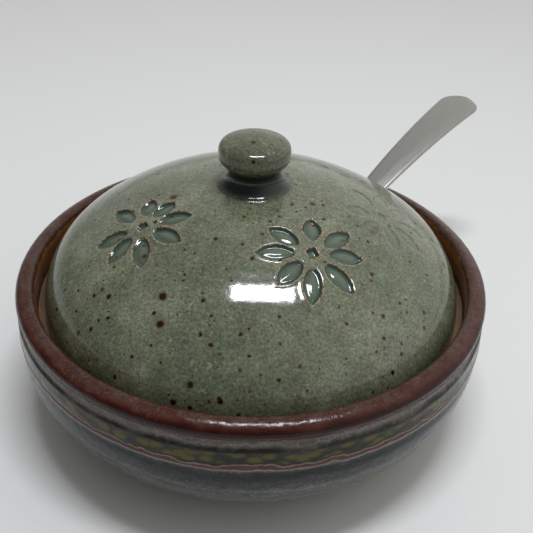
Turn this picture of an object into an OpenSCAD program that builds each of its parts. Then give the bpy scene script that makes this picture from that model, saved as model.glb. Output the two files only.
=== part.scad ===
// Butter crock: a wheel-thrown stoneware bowl with a galleried rim, a domed lid with a
// turned knob and stamped flowers, and a steel butter spreader that leaves through a notch
// in the lid's edge. Millimetres, +Z up, origin on the bowl's axis at the table.

/* [Bowl] */
// Radius of the upright wall, outside
wall_r = 75.2; // [65:0.2:95]
// Height of the middle of the rolled lip above the table
rim_z = 45; // [37:0.5:60]
// Thickness of the wall and of the floor
wall_t = 6; // [4:0.5:8]
// Radius of the rolled lip's section
roll_r = 3; // [2.4:0.1:3.6]
// How far the lip's outer edge stands back from the wall
roll_set_back = 0.2; // [0:0.1:1]
// Depth of the groove under the rolled lip
groove_d = 1; // [0.5:0.1:1.5]
// Radius of the groove's section
groove_r = 2.5; // [2:0.1:3.5]
// Drop from the middle of the lip to the middle of the groove
groove_drop = 3.4; // [3:0.1:4.5]
// Radius of the belly's curve, from wall to foot
belly_r = 26; // [20:0.5:32]
// Radius of the raised bead's section
bead_r = 1.2; // [0.8:0.1:2]
// How far the bead stands out of the wall
bead_out = 0.4; // [0.2:0.1:0.8]
// Drop from the middle of the lip to the bead
bead_drop = 11.2; // [8:0.2:14]

/* [Gallery] */
// Drop from the middle of the lip to the ledge that carries the lid
ledge_drop = 7; // [5:0.5:9]
// Width of the ledge
ledge_w = 8; // [7:0.5:10]
// Thickness of the ledge at its free edge
ledge_t = 3.5; // [2.5:0.5:5]
// Extra thickness of the ledge where it joins the wall
ledge_flare = 6; // [3:0.5:9]

/* [Foot ring] */
// Outer radius of the foot ring
foot_r = 46; // [36:0.5:48]
// Width of the foot ring
foot_w = 6; // [4:0.5:8]
// Height of the foot ring
foot_h = 4.2; // [3:0.2:7]
// Radius that rounds the foot ring's and the lid's edges
edge_r = 1; // [0.6:0.1:1.5]

/* [Lid] */
// Gap between the lid's edge and the wall of the gallery
lid_gap = 2.25; // [1:0.25:3]
// Height of the dome from the ledge to its top
lid_h = 39.1; // [31:0.1:50]
// Radius of the dome's shoulder in section
shoulder_r = 24.8; // [18:0.2:28]
// Thickness of the lid
lid_t = 5; // [4:0.5:6.5]

/* [Knob] */
// Radius of the knob's head
knob_r = 11; // [9:0.5:15]
// Radius of the knob's neck
neck_r = 8; // [6:0.1:8.6]
// Height of the whole knob above the top of the dome
knob_h = 15.9; // [13:0.1:21]
// Height of the head's upright band and its crown
head_h = 7.5; // [6:0.25:9]
// Height of the head's rounded crown
crown_h = 4.5; // [4:0.25:5]
// Radius of the rounding at the head's upper edge
head_edge_r = 2.5; // [1:0.1:3]
// Height of the neck above the top of the dome
neck_h = 2.4; // [2:0.1:3.5]
// Width of the slope between the neck and the dome
neck_flare = 1.3; // [0.8:0.1:1.6]

/* [Stamped flowers] */
// Length of one petal stamp
petal_l = 11; // [8:0.5:12]
// Width of one petal stamp
petal_w = 5.5; // [4:0.25:6]
// Distance from a flower's middle to the near tips of its petals
petal_start = 4.3; // [3.5:0.1:6]
// Depth of a petal stamp
petal_depth = 0.8; // [0.4:0.1:1.2]
// Side of the square stamp in a flower's middle
pip_side = 3.2; // [2:0.2:4]
// Depth of the square stamp
pip_depth = 1.2; // [0.6:0.1:1.6]

/* [Notch in the lid] */
// Direction of the notch and the spreader, clockwise from +Y seen from above
notch_az = 41.5; // [0:0.5:360]
// Width of the notch
notch_w = 20; // [18:0.5:26]
// Height of the notch above the ledge
notch_h = 13.5; // [13:0.5:17]
// Radius of the notch's upper corners
notch_corner_r = 5; // [3:0.5:6]

/* [Butter spreader] */
// Length of the curved handle that stands out past the lip
handle_out = 64; // [50:1:80]
// Length of the curved handle from the lip inwards
handle_in = 20; // [15:1:25]
// Radius of the handle's gentle downward curve
handle_bend_r = 265; // [220:5:400]
// Slope of the handle where it lies on the lip, in degrees
handle_slope = 21; // [19:0.5:24]
// Thickness of the steel along the handle
handle_t = 2; // [1.5:0.1:2.4]
// Width of the handle near its end
end_w = 16.4; // [13:0.2:19]
// Width of the handle where it lies on the lip
grip_w = 11.3; // [9:0.1:13]
// Length of the rounding at the handle's end
end_round = 7; // [5:0.5:9]
// Width of the neck between handle and blade
shank_w = 8.4; // [6:0.2:9.5]
// Width of the blade
blade_w = 16; // [12:0.5:17]
// Length of the blade
blade_l = 58; // [45:1:62]
// Length over which the blade narrows to the neck
blade_shoulder = 16; // [10:1:20]
// Length of the rounding at the blade's tip
tip_round = 11; // [8:0.5:14]
// Thickness of the blade
blade_t = 1.4; // [1:0.1:1.8]
// Gap between the spreader and what it lies on
rest_gap = 0.3; // [0.2:0.05:0.5]

/* [Hidden] */

// Bowl
lip_r = wall_r - roll_set_back - roll_r;
gallery_r = lip_r - roll_r;
ledge_z = rim_z - ledge_drop;
ledge_r = gallery_r - ledge_w;
belly_c = wall_r - belly_r;
belly_top = foot_h + belly_r;
floor_z = foot_h + wall_t;
inner_r = wall_r - wall_t;
groove_z = rim_z - groove_drop;

// Lid, measured from the ledge
lid_r = gallery_r - lid_gap;
crown_r = crown_radius(lid_r, lid_h, shoulder_r);
lid_top_z = ledge_z + lid_h;
shoulder_start_r = crown_r * (lid_r - shoulder_r) / (crown_r - shoulder_r);

// Knob
head_z = knob_h - head_h;
knob_foot_r = neck_r + neck_flare;

// Flowers: [direction clockwise from +Y, shift away from the ring, petals], and a petal is
// [direction, share of the petal's length]
flower_ring_r = (knob_foot_r + shoulder_start_r) / 2;
flowers = [
    [150, 0.4, [
        [-60, 0.95], [-23, 1.1], [21, 1], [61, 1.15], [108, 1.1], [155, 1], [192, 1], [241, 0.8]
    ]],
    [244.5, 2.8, [
        [15, 1.05], [74, 1], [112, 1], [156, 1.1], [205, 1.05], [246, 1], [285, 0.75],
        [327, 0.75]
    ]],
    [96, 6.5, [
        [-23, 1.15], [23, 1], [62, 1.1], [98, 1.1], [140, 1], [180, 1], [225, 0.9], [290, 0.8]
    ]]
];
cut_over = 2;

// Spreader, in a frame at the middle of the lip with x along the handle
bend_drop = handle_bend_r - handle_t / 2 - rest_gap - roll_r;
bend_angle = handle_in / handle_bend_r * 180 / PI;
out_angle = handle_out / handle_bend_r * 180 / PI;
blade_slope = handle_slope + bend_angle;
bend_x = -handle_bend_r * sin(bend_angle);
bend_z = handle_bend_r * cos(bend_angle) - bend_drop;
bend_world_z = rim_z + bend_x * sin(handle_slope) + bend_z * cos(handle_slope);
tip_world_z = floor_z + rest_gap + blade_t / 2 * cos(blade_slope);
straight_l = (bend_world_z - tip_world_z) / sin(blade_slope);
tip_x = bend_x - straight_l * cos(bend_angle);
end_x = handle_bend_r * sin(out_angle);
shank_x = tip_x + blade_l + blade_shoulder;
cap_x = end_x - end_round;
taper_x = max(shank_x + 1, cap_x * (shank_w - grip_w) / (end_w - grip_w));

$fn = 64;

// Radius of the arc over the axis that runs smoothly into a shoulder's arc
function crown_radius(r, h, shoulder) =
    (pow(r - shoulder, 2) + h * h - shoulder * shoulder) / (2 * (h - shoulder));

// Half section of a dome: a crown's arc over the axis and a shoulder's arc, both set in
module dome_section(r, h, shoulder, inset = 0) {
    crown = crown_radius(r, h, shoulder);
    drop = crown - h;
    reach = 2 * crown / (crown - shoulder);
    intersection() {
        union() {
            translate([r - shoulder, 0]) circle(shoulder - inset);
            intersection() {
                translate([0, -drop]) circle(crown - inset);
                polygon([[0, -drop], [0, crown], [reach * (r - shoulder), (reach - 1) * drop]]);
            }
        }
        square([r, h]);
    }
}

// The sliver that turns a sharp lower corner at [x, 0] into a round one
module corner_sliver(x, side) {
    translate([x, 0]) difference() {
        translate([side > 0 ? -edge_r : -1, -1]) square([edge_r + 1, edge_r + 1]);
        translate([-side * edge_r, edge_r]) circle(edge_r);
    }
}

module bowl_outline() {
    translate([lip_r, rim_z]) circle(roll_r);
    translate([gallery_r, groove_z]) square([wall_r - groove_d - gallery_r, rim_z - groove_z]);
    translate([belly_c, belly_top]) square([belly_r, groove_z - belly_top]);
    translate([0, foot_h]) square([belly_c, groove_z - foot_h]);
    intersection() {
        translate([belly_c, belly_top]) circle(belly_r);
        translate([belly_c, foot_h]) square([belly_r, belly_r]);
    }
    translate([wall_r + bead_out - bead_r, rim_z - bead_drop]) circle(bead_r);
    translate([foot_r - foot_w, 0]) difference() {
        square([foot_w, foot_h + wall_t / 2]);
        corner_sliver(foot_w, 1);
        corner_sliver(0, -1);
    }
}

module bowl_hollow() {
    translate([0, ledge_z]) square([gallery_r, rim_z]);
    translate([0, floor_z]) square([belly_c, ledge_z - floor_z + 1]);
    translate([0, belly_top]) square([inner_r, ledge_z - belly_top]);
    intersection() {
        translate([belly_c, belly_top]) circle(belly_r - wall_t);
        translate([belly_c, floor_z]) square([belly_r, belly_top - floor_z]);
    }
}

module ledge_section() {
    root_r = (inner_r + wall_r) / 2;
    polygon([
        [ledge_r, ledge_z], [root_r, ledge_z],
        [root_r, ledge_z - ledge_t - ledge_flare], [inner_r, ledge_z - ledge_t - ledge_flare],
        [ledge_r, ledge_z - ledge_t]
    ]);
}

module bowl() {
    color("darkslategray") rotate_extrude() difference() {
        bowl_outline();
        difference() {
            bowl_hollow();
            ledge_section();
        }
        translate([wall_r - groove_d + groove_r, groove_z]) circle(groove_r);
    }
}

// Moves a stamp from the XY plane onto the crown, its +Y pointing down the slope
module on_crown(azimuth, radius) {
    translate([0, 0, lid_top_z - crown_r])
        rotate([-asin(radius / crown_r), 0, -azimuth])
            translate([0, 0, crown_r]) children();
}

// A petal as long as given: the lens between two arcs through its tips
module petal_stamp(length) {
    arc_r = (length * length + petal_w * petal_w) / (4 * petal_w);
    offset_y = arc_r - petal_w / 2;
    translate([0, 0, -petal_depth]) linear_extrude(petal_depth + cut_over) intersection() {
        translate([0, offset_y]) circle(arc_r);
        translate([0, -offset_y]) circle(arc_r);
    }
}

// A flower in the XY plane that touches the crown at its middle; each petal lies on the crown
module flower_stamp(petals) {
    for (p = petals) {
        length = petal_l * p[1];
        tilt = asin((petal_start + length / 2) / crown_r);
        rotate([0, 0, p[0]]) translate([0, 0, -crown_r]) rotate([0, tilt, 0])
            translate([0, 0, crown_r]) petal_stamp(length);
    }
    translate([-pip_side / 2, -pip_side / 2, -pip_depth])
        cube([pip_side, pip_side, pip_depth + cut_over]);
}

// The notch as a straight tunnel, upright sides and rounded upper corners
module notch_cut() {
    low = notch_w / 2 - notch_corner_r;
    depth = lid_t + lid_gap + notch_w / 2;
    rotate([0, 0, -notch_az]) translate([0, lid_r + lid_gap, ledge_z]) rotate([90, 0, 0])
        linear_extrude(depth) {
            translate([-notch_w / 2, -1]) square([notch_w, notch_h - notch_corner_r + 1]);
            translate([-low, 0]) square([2 * low, notch_h]);
            for (x = [-low, low])
                translate([x, notch_h - notch_corner_r]) circle(notch_corner_r);
        }
}

module lid() {
    color("darkseagreen") difference() {
        translate([0, 0, ledge_z]) rotate_extrude() difference() {
            dome_section(lid_r, lid_h, shoulder_r);
            dome_section(lid_r, lid_h, shoulder_r, lid_t);
            corner_sliver(lid_r, 1);
            corner_sliver(lid_r - lid_t, -1);
        }
        notch_cut();
        for (f = flowers) on_crown(f[0], flower_ring_r + f[1]) flower_stamp(f[2]);
    }
}

// The knob: a short neck that flares on to the dome, a head that slopes out and a crown
module knob() {
    color("seagreen") translate([0, 0, lid_top_z]) rotate_extrude() {
        difference() {
            polygon([
                [0, -cut_over], [knob_foot_r, -cut_over], [knob_foot_r, 0], [neck_r, neck_flare],
                [neck_r, neck_h], [knob_r, head_z], [knob_r, knob_h - crown_h],
                [0, knob_h - crown_h]
            ]);
            translate([0, -lid_h]) dome_section(lid_r, lid_h, shoulder_r);
        }
        translate([0, knob_h - crown_h]) dome_section(knob_r, crown_h, head_edge_r);
    }
}

// One edge of the spreader seen from above, from the blade's tip to the handle's end
function edge_points() = concat(
    [for (a = [0:10:90]) [tip_x + tip_round * (1 - cos(a)), blade_w / 2 * sin(a)]],
    [for (t = [0:0.125:1]) [
        tip_x + blade_l + blade_shoulder * t,
        (blade_w + shank_w) / 4 + (blade_w - shank_w) / 4 * cos(180 * t)
    ]],
    [[taper_x, shank_w / 2]],
    [for (a = [0:10:90]) [cap_x + end_round * sin(a), end_w / 2 * cos(a)]]
);

module spreader_outline() {
    edge = edge_points();
    last = len(edge) - 1;
    polygon(concat(edge, [for (i = [last - 1:-1:1]) [edge[i].x, -edge[i].y]]));
}

// Side view of the steel: a straight blade and a handle that curves gently down
module spreader_side() {
    far = 2 * handle_bend_r;
    intersection() {
        translate([0, -bend_drop]) difference() {
            circle(handle_bend_r + handle_t / 2, $fn = 360);
            circle(handle_bend_r - handle_t / 2, $fn = 360);
        }
        translate([0, -bend_drop]) polygon([
            [0, 0], [-far * sin(bend_angle), far * cos(bend_angle)],
            [far * sin(out_angle), far * cos(out_angle)]
        ]);
    }
    translate([bend_x, bend_z]) rotate(180 + bend_angle) {
        translate([0, -blade_t / 2]) square([straight_l, blade_t]);
        polygon([
            [0, -handle_t / 2], [straight_l - blade_l, -blade_t / 2],
            [straight_l - blade_l, blade_t / 2], [0, handle_t / 2]
        ]);
    }
}

module spreader() {
    color("lightgray") rotate([0, 0, 90 - notch_az]) translate([lip_r, 0, rim_z])
        rotate([0, -handle_slope, 0]) intersection() {
            rotate([90, 0, 0]) linear_extrude(end_w * 2, center = true) spreader_side();
            translate([0, 0, -bend_drop / 4]) linear_extrude(bend_drop / 2)
                spreader_outline();
        }
}

bowl();
lid();
knob();
spreader();
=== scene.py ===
"""Butter crock: the finished look of a wheel-thrown stoneware crock and its steel spreader.

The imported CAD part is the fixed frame. Each piece below is rebuilt finely in the same place, as
the potter or the cutler made it, and takes the place of its plain CAD node.
Sizes are millimetres unless a name says otherwise; meshes are metres.
"""

import logging
import math
from collections.abc import Callable, Iterable, Sequence
from dataclasses import dataclass, field
from enum import Enum

import bmesh
import bpy
import numpy as np
from mathutils import Matrix, Vector


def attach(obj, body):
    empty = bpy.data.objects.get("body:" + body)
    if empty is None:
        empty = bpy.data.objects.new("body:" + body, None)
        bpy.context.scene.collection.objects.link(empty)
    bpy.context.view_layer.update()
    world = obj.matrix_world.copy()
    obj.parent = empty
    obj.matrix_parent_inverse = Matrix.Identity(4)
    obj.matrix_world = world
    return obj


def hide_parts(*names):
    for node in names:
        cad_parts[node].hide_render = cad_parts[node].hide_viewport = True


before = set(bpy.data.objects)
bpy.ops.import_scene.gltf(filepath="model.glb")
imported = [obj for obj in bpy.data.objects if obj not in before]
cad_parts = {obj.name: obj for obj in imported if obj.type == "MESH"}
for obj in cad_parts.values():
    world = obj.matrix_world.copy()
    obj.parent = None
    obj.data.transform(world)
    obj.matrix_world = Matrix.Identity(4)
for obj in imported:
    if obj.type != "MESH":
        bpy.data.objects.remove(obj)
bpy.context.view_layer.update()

MM = 0.001
LOG = logging.getLogger("butter_crock")
Colour = tuple[float, float, float, float]
Point = tuple[float, float]


def srgb(code: str) -> Colour:
    """Turns an sRGB hex colour into the linear colour that the shaders use.

    Args:
        code: Six hex digits.

    Returns:
        Linear red, green, blue and an alpha of 1.
    """
    parts = [int(code[i : i + 2], 16) / 255 for i in (0, 2, 4)]
    linear = [p / 12.92 if p <= 0.04045 else ((p + 0.055) / 1.055) ** 2.4 for p in parts]
    return (linear[0], linear[1], linear[2], 1.0)


def add_node(
    tree: bpy.types.NodeTree,
    kind: str,
    inputs: dict[int | str, object] | None = None,
    stops: Sequence[tuple[float, Colour]] = (),
    **settings: object,
) -> bpy.types.Node:
    """Adds one node, with its settings, its input values and its links.

    Args:
        tree: The tree that gets the node.
        kind: The node's type name.
        inputs: By socket name or number, a value to set or an output to link from.
        stops: For a colour ramp, its positions and colours in order.
        **settings: Properties of the node itself.

    Returns:
        The new node.
    """
    node = tree.nodes.new(kind)
    for name, value in settings.items():
        setattr(node, name, value)
    if stops:
        elements = node.color_ramp.elements
        while len(elements) < len(stops):
            elements.new(1.0)
        for element, (position, colour) in zip(elements, stops):
            element.position = position
            element.color = colour
    for socket, value in (inputs or {}).items():
        if isinstance(value, bpy.types.NodeSocket):
            tree.links.new(value, node.inputs[socket])
        else:
            node.inputs[socket].default_value = value
    return node


def new_material(name: str) -> tuple[bpy.types.Material, bpy.types.NodeTree, bpy.types.Node]:
    """Starts a material with one Principled shader.

    Args:
        name: The material's name.

    Returns:
        The material, its tree and the Principled node.
    """
    material = bpy.data.materials.new(name)
    material.use_nodes = True
    tree = material.node_tree
    tree.nodes.clear()
    shader = add_node(tree, "ShaderNodeBsdfPrincipled")
    add_node(tree, "ShaderNodeOutputMaterial", {"Surface": shader.outputs[0]})
    return material, tree, shader


# ---------------------------------------------------------------------------------------------
# Finishes


@dataclass(frozen=True)
class Specks:
    """Iron specks that bleed through a glaze, one per random cell.

    Args:
        cell: Size of the cells, in mm.
        radius: Largest radius of a speck, in mm.
        share: Share of the cells that hold one.
    """

    cell: float
    radius: float
    share: float

    def mask(
        self, tree: bpy.types.NodeTree, where: bpy.types.NodeSocket, spread: float, soft: float
    ) -> bpy.types.NodeSocket:
        """Adds the nodes of this layer.

        Args:
            tree: The material's tree.
            where: Coordinates, a little disturbed so that no speck is round.
            spread: The radius is multiplied by this, so a halo takes more than 1.
            soft: Share of the radius over which the edge fades.

        Returns:
            1 in a speck and 0 elsewhere.
        """
        cells = add_node(
            tree,
            "ShaderNodeTexVoronoi",
            {"Vector": where, "Scale": 1 / (self.cell * MM), "Randomness": 1.0},
        )
        lot = add_node(tree, "ShaderNodeSeparateColor", {"Color": cells.outputs["Color"]})
        reach = self.radius * spread / self.cell
        size = add_node(
            tree,
            "ShaderNodeMapRange",
            {0: lot.outputs[0], 1: 1 - self.share, 2: 1.0, 3: reach * 0.25, 4: reach},
        )
        chosen = add_node(
            tree,
            "ShaderNodeMath",
            {0: lot.outputs[0], 1: 1 - self.share},
            operation="GREATER_THAN",
        )
        near = add_node(
            tree,
            "ShaderNodeMath",
            {0: size.outputs[0], 1: cells.outputs["Distance"]},
            operation="SUBTRACT",
        )
        edge = add_node(
            tree,
            "ShaderNodeMapRange",
            {0: near.outputs[0], 1: 0.0, 2: reach * soft, 3: 0.0, 4: 1.0},
            interpolation_type="SMOOTHSTEP",
        )
        return add_node(
            tree,
            "ShaderNodeMath",
            {0: edge.outputs[0], 1: chosen.outputs[0]},
            operation="MULTIPLY",
        ).outputs[0]


@dataclass(frozen=True)
class CeladonGlaze:
    """Reduction-fired celadon over speckled stoneware, poured and glossy.

    It gives a grey-green, faintly mottled surface with rusty iron specks. It pools dark teal in
    hollows and breaks tan over edges. Round the knob the pool colour also stands for painted
    shade under the knob's head.

    Args:
        name: The material's name.
        body: Colour of the glaze.
        pale: Its thin patches.
        green: Its thick patches.
        pool: Where it stands deep; round the knob it is also painted shade under the head.
        breaking: Where it is thin over an edge.
        tissue: The raised middle of a petal.
        rust: The halo of a speck.
        iron: The middle of a speck.
        specks: The layers of specks.
        blooms: Large single specks, each as x, y, z and radius in mm.
        pool_and_shade_attribute: The attribute that is 1 in a pool or in painted shade, or none.
        stamp_attribute: The attribute that holds the distance from a stamp's outline, or none.
    """

    name: str = "celadon_glaze"
    body: Colour = srgb("606551")
    pale: Colour = srgb("767a66")
    green: Colour = srgb("59604d")
    # Pool colour, also used as painted shade under the knob's head.
    pool: Colour = srgb("0c1a15")
    breaking: Colour = srgb("8c8068")
    tissue: Colour = srgb("5d6653")
    rust: Colour = srgb("553413")
    iron: Colour = srgb("120b07")
    specks: tuple[Specks, ...] = (
        Specks(cell=1.4, radius=0.32, share=0.4),
        Specks(cell=2.6, radius=0.85, share=0.42),
        Specks(cell=6.0, radius=1.5, share=0.25),
    )
    blooms: tuple[tuple[float, float, float, float], ...] = ()
    pool_and_shade_attribute: str = ""
    stamp_attribute: str = ""

    def build(self) -> bpy.types.Material:
        """Builds the material.

        Returns:
            The finished glaze.
        """
        material, tree, shader = new_material(self.name)
        where = add_node(tree, "ShaderNodeTexCoord").outputs["Object"]
        colour = self._clouds(tree, where)
        if self.pool_and_shade_attribute:
            colour = self._pooled_and_shaded(tree, colour)
        if self.stamp_attribute:
            colour = self._stamped(tree, where, colour)
        colour = self._specked(tree, where, colour)
        tree.links.new(colour, shader.inputs["Base Color"])
        shader.inputs["Roughness"].default_value = 0.1
        shader.inputs["IOR"].default_value = 1.5
        fine = add_node(
            tree, "ShaderNodeTexNoise", {"Vector": where, "Scale": 520.0, "Detail": 3.0}
        )
        broad = add_node(
            tree, "ShaderNodeTexNoise", {"Vector": where, "Scale": 110.0, "Detail": 2.0}
        )
        height = add_node(
            tree,
            "ShaderNodeMath",
            {0: broad.outputs[0], 1: 1.6, 2: fine.outputs[0]},
            operation="MULTIPLY_ADD",
        )
        ripple = add_node(
            tree,
            "ShaderNodeBump",
            {"Height": height.outputs[0], "Strength": 0.35, "Distance": 0.08 * MM},
        )
        tree.links.new(ripple.outputs[0], shader.inputs["Normal"])
        return material

    def _clouds(
        self, tree: bpy.types.NodeTree, where: bpy.types.NodeSocket
    ) -> bpy.types.NodeSocket:
        """The mottle of an uneven pour: broad green clouds and a fine pale grain.

        Args:
            tree: The material's tree.
            where: Coordinates on the piece.

        Returns:
            The mottled colour.
        """
        broad = add_node(
            tree,
            "ShaderNodeTexNoise",
            {"Vector": where, "Scale": 42.0, "Detail": 4.0, "Roughness": 0.6},
        )
        cloud = add_node(
            tree,
            "ShaderNodeValToRGB",
            {0: broad.outputs[0]},
            stops=((0.32, self.green), (0.5, self.body), (0.72, self.pale)),
        )
        grain = add_node(
            tree,
            "ShaderNodeTexNoise",
            {"Vector": where, "Scale": 1300.0, "Detail": 3.0, "Roughness": 0.75},
        )
        patches = add_node(
            tree, "ShaderNodeTexNoise", {"Vector": where, "Scale": 190.0, "Detail": 3.0}
        )
        value = add_node(
            tree,
            "ShaderNodeMapRange",
            {0: grain.outputs[0], 1: 0.36, 2: 0.64, 3: 0.6, 4: 1.4},
        )
        drift = add_node(
            tree,
            "ShaderNodeMapRange",
            {0: patches.outputs[0], 1: 0.35, 2: 0.65, 3: 0.86, 4: 1.14},
        )
        both = add_node(
            tree,
            "ShaderNodeMath",
            {0: value.outputs[0], 1: drift.outputs[0]},
            operation="MULTIPLY",
        )
        grey = add_node(
            tree,
            "ShaderNodeHueSaturation",
            {"Color": cloud.outputs[0], "Value": both.outputs[0]},
        )
        seeds = add_node(
            tree, "ShaderNodeTexNoise", {"Vector": where, "Scale": 820.0, "Detail": 2.0}
        )
        seeded = add_node(
            tree,
            "ShaderNodeMapRange",
            {0: seeds.outputs[0], 1: 0.6, 2: 0.72, 3: 0.0, 4: 0.6},
        )
        return add_node(
            tree,
            "ShaderNodeMix",
            {0: seeded.outputs[0], 6: grey.outputs[0], 7: srgb("8b8f78")},
            data_type="RGBA",
        ).outputs[2]

    def _pooled_and_shaded(
        self, tree: bpy.types.NodeTree, colour: bpy.types.NodeSocket
    ) -> bpy.types.NodeSocket:
        """Glaze that ran down and stands thick, with painted shade under the knob's head, where
        the attribute is near 1.

        Args:
            tree: The material's tree.
            colour: The colour so far.

        Returns:
            The colour with the pool in it.
        """
        depth = add_node(tree, "ShaderNodeAttribute", attribute_name=self.pool_and_shade_attribute)
        return add_node(
            tree,
            "ShaderNodeMix",
            {0: depth.outputs["Fac"], 6: colour, 7: self.pool},
            data_type="RGBA",
        ).outputs[2]

    def _stamped(
        self,
        tree: bpy.types.NodeTree,
        where: bpy.types.NodeSocket,
        colour: bpy.types.NodeSocket,
    ) -> bpy.types.NodeSocket:
        """Colours the stamps by the distance from their outlines, in mm, negative inside.

        Args:
            tree: The material's tree.
            where: Coordinates on the piece.
            colour: The colour so far.

        Returns:
            The colour with the stamps in it.
        """
        edge = add_node(tree, "ShaderNodeAttribute", attribute_name=self.stamp_attribute)
        press = add_node(tree, "ShaderNodeAttribute", attribute_name="stamp_press")
        stir = add_node(
            tree, "ShaderNodeTexNoise", {"Vector": where, "Scale": 700.0, "Detail": 3.0}
        )
        wander = add_node(
            tree,
            "ShaderNodeMapRange",
            {0: stir.outputs[0], 1: 0.25, 2: 0.75, 3: -0.22, 4: 0.22},
        )
        moved = add_node(
            tree,
            "ShaderNodeMath",
            {0: edge.outputs["Fac"], 1: wander.outputs[0]},
            operation="ADD",
        )
        across = add_node(
            tree, "ShaderNodeMapRange", {0: moved.outputs[0], 1: -3.0, 2: 1.0, 3: 0.0, 4: 1.0}
        )
        inside = add_node(
            tree,
            "ShaderNodeValToRGB",
            {0: across.outputs[0]},
            stops=(
                (0.05, self.tissue),
                (0.3, srgb("535f4f")),
                (0.52, srgb("425245")),
                (0.68, srgb("283c35")),
                (0.735, srgb("2f382c")),
                (0.765, self.breaking),
                (0.82, self.breaking),
                (0.97, self.body),
            ),
        )
        beads = add_node(
            tree, "ShaderNodeTexNoise", {"Vector": where, "Scale": 1500.0, "Detail": 2.0}
        )
        beaded = add_node(
            tree,
            "ShaderNodeMapRange",
            {0: beads.outputs[0], 1: 0.52, 2: 0.58, 3: 0.0, 4: 0.9},
        )
        outline = add_node(
            tree,
            "ShaderNodeMapRange",
            {0: moved.outputs[0], 1: -0.25, 2: 0.05, 3: 0.0, 4: 1.0},
        )
        rusty = add_node(
            tree,
            "ShaderNodeMath",
            {0: beaded.outputs[0], 1: outline.outputs[0]},
            operation="MULTIPLY",
        )
        broken = add_node(
            tree,
            "ShaderNodeMix",
            {0: rusty.outputs[0], 6: inside.outputs[0], 7: self.rust},
            data_type="RGBA",
        )
        near = add_node(
            tree,
            "ShaderNodeMapRange",
            {0: moved.outputs[0], 1: 0.3, 2: 0.8, 3: 1.0, 4: 0.0},
        )
        amount = add_node(
            tree,
            "ShaderNodeMath",
            {0: near.outputs[0], 1: press.outputs["Fac"]},
            operation="MULTIPLY",
        )
        return add_node(
            tree,
            "ShaderNodeMix",
            {0: amount.outputs[0], 6: colour, 7: broken.outputs[2]},
            data_type="RGBA",
        ).outputs[2]

    def _specked(
        self,
        tree: bpy.types.NodeTree,
        where: bpy.types.NodeSocket,
        colour: bpy.types.NodeSocket,
    ) -> bpy.types.NodeSocket:
        """Lays every layer of specks over the glaze, each in its rusty halo.

        Args:
            tree: The material's tree.
            where: Coordinates on the piece.
            colour: The colour so far.

        Returns:
            The colour with the specks in it.
        """
        stir = add_node(
            tree, "ShaderNodeTexNoise", {"Vector": where, "Scale": 900.0, "Detail": 2.0}
        )
        push = add_node(
            tree,
            "ShaderNodeVectorMath",
            {0: stir.outputs["Color"], 1: (0.5, 0.5, 0.5)},
            operation="SUBTRACT",
        )
        moved = add_node(
            tree,
            "ShaderNodeVectorMath",
            {0: push.outputs[0], 1: (0.7 * MM,) * 3, 2: where},
            operation="MULTIPLY_ADD",
        ).outputs[0]
        for tone, spread, soft in ((self.rust, 1.3, 0.6), (self.iron, 0.85, 0.35)):
            for layer in self.specks:
                mask = layer.mask(tree, moved, spread, soft)
                colour = add_node(
                    tree, "ShaderNodeMix", {0: mask, 6: colour, 7: tone}, data_type="RGBA"
                ).outputs[2]
            for x, y, z, radius in self.blooms:
                away = add_node(
                    tree,
                    "ShaderNodeVectorMath",
                    {0: moved, 1: (x * MM, y * MM, z * MM)},
                    operation="DISTANCE",
                )
                mask = add_node(
                    tree,
                    "ShaderNodeMapRange",
                    {
                        0: away.outputs["Value"],
                        1: radius * spread * MM,
                        2: radius * spread * (1 - soft) * MM,
                        3: 0.0,
                        4: 1.0,
                    },
                    interpolation_type="SMOOTHSTEP",
                )
                colour = add_node(
                    tree,
                    "ShaderNodeMix",
                    {0: mask.outputs[0], 6: colour, 7: tone},
                    data_type="RGBA",
                ).outputs[2]
        return colour


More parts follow.
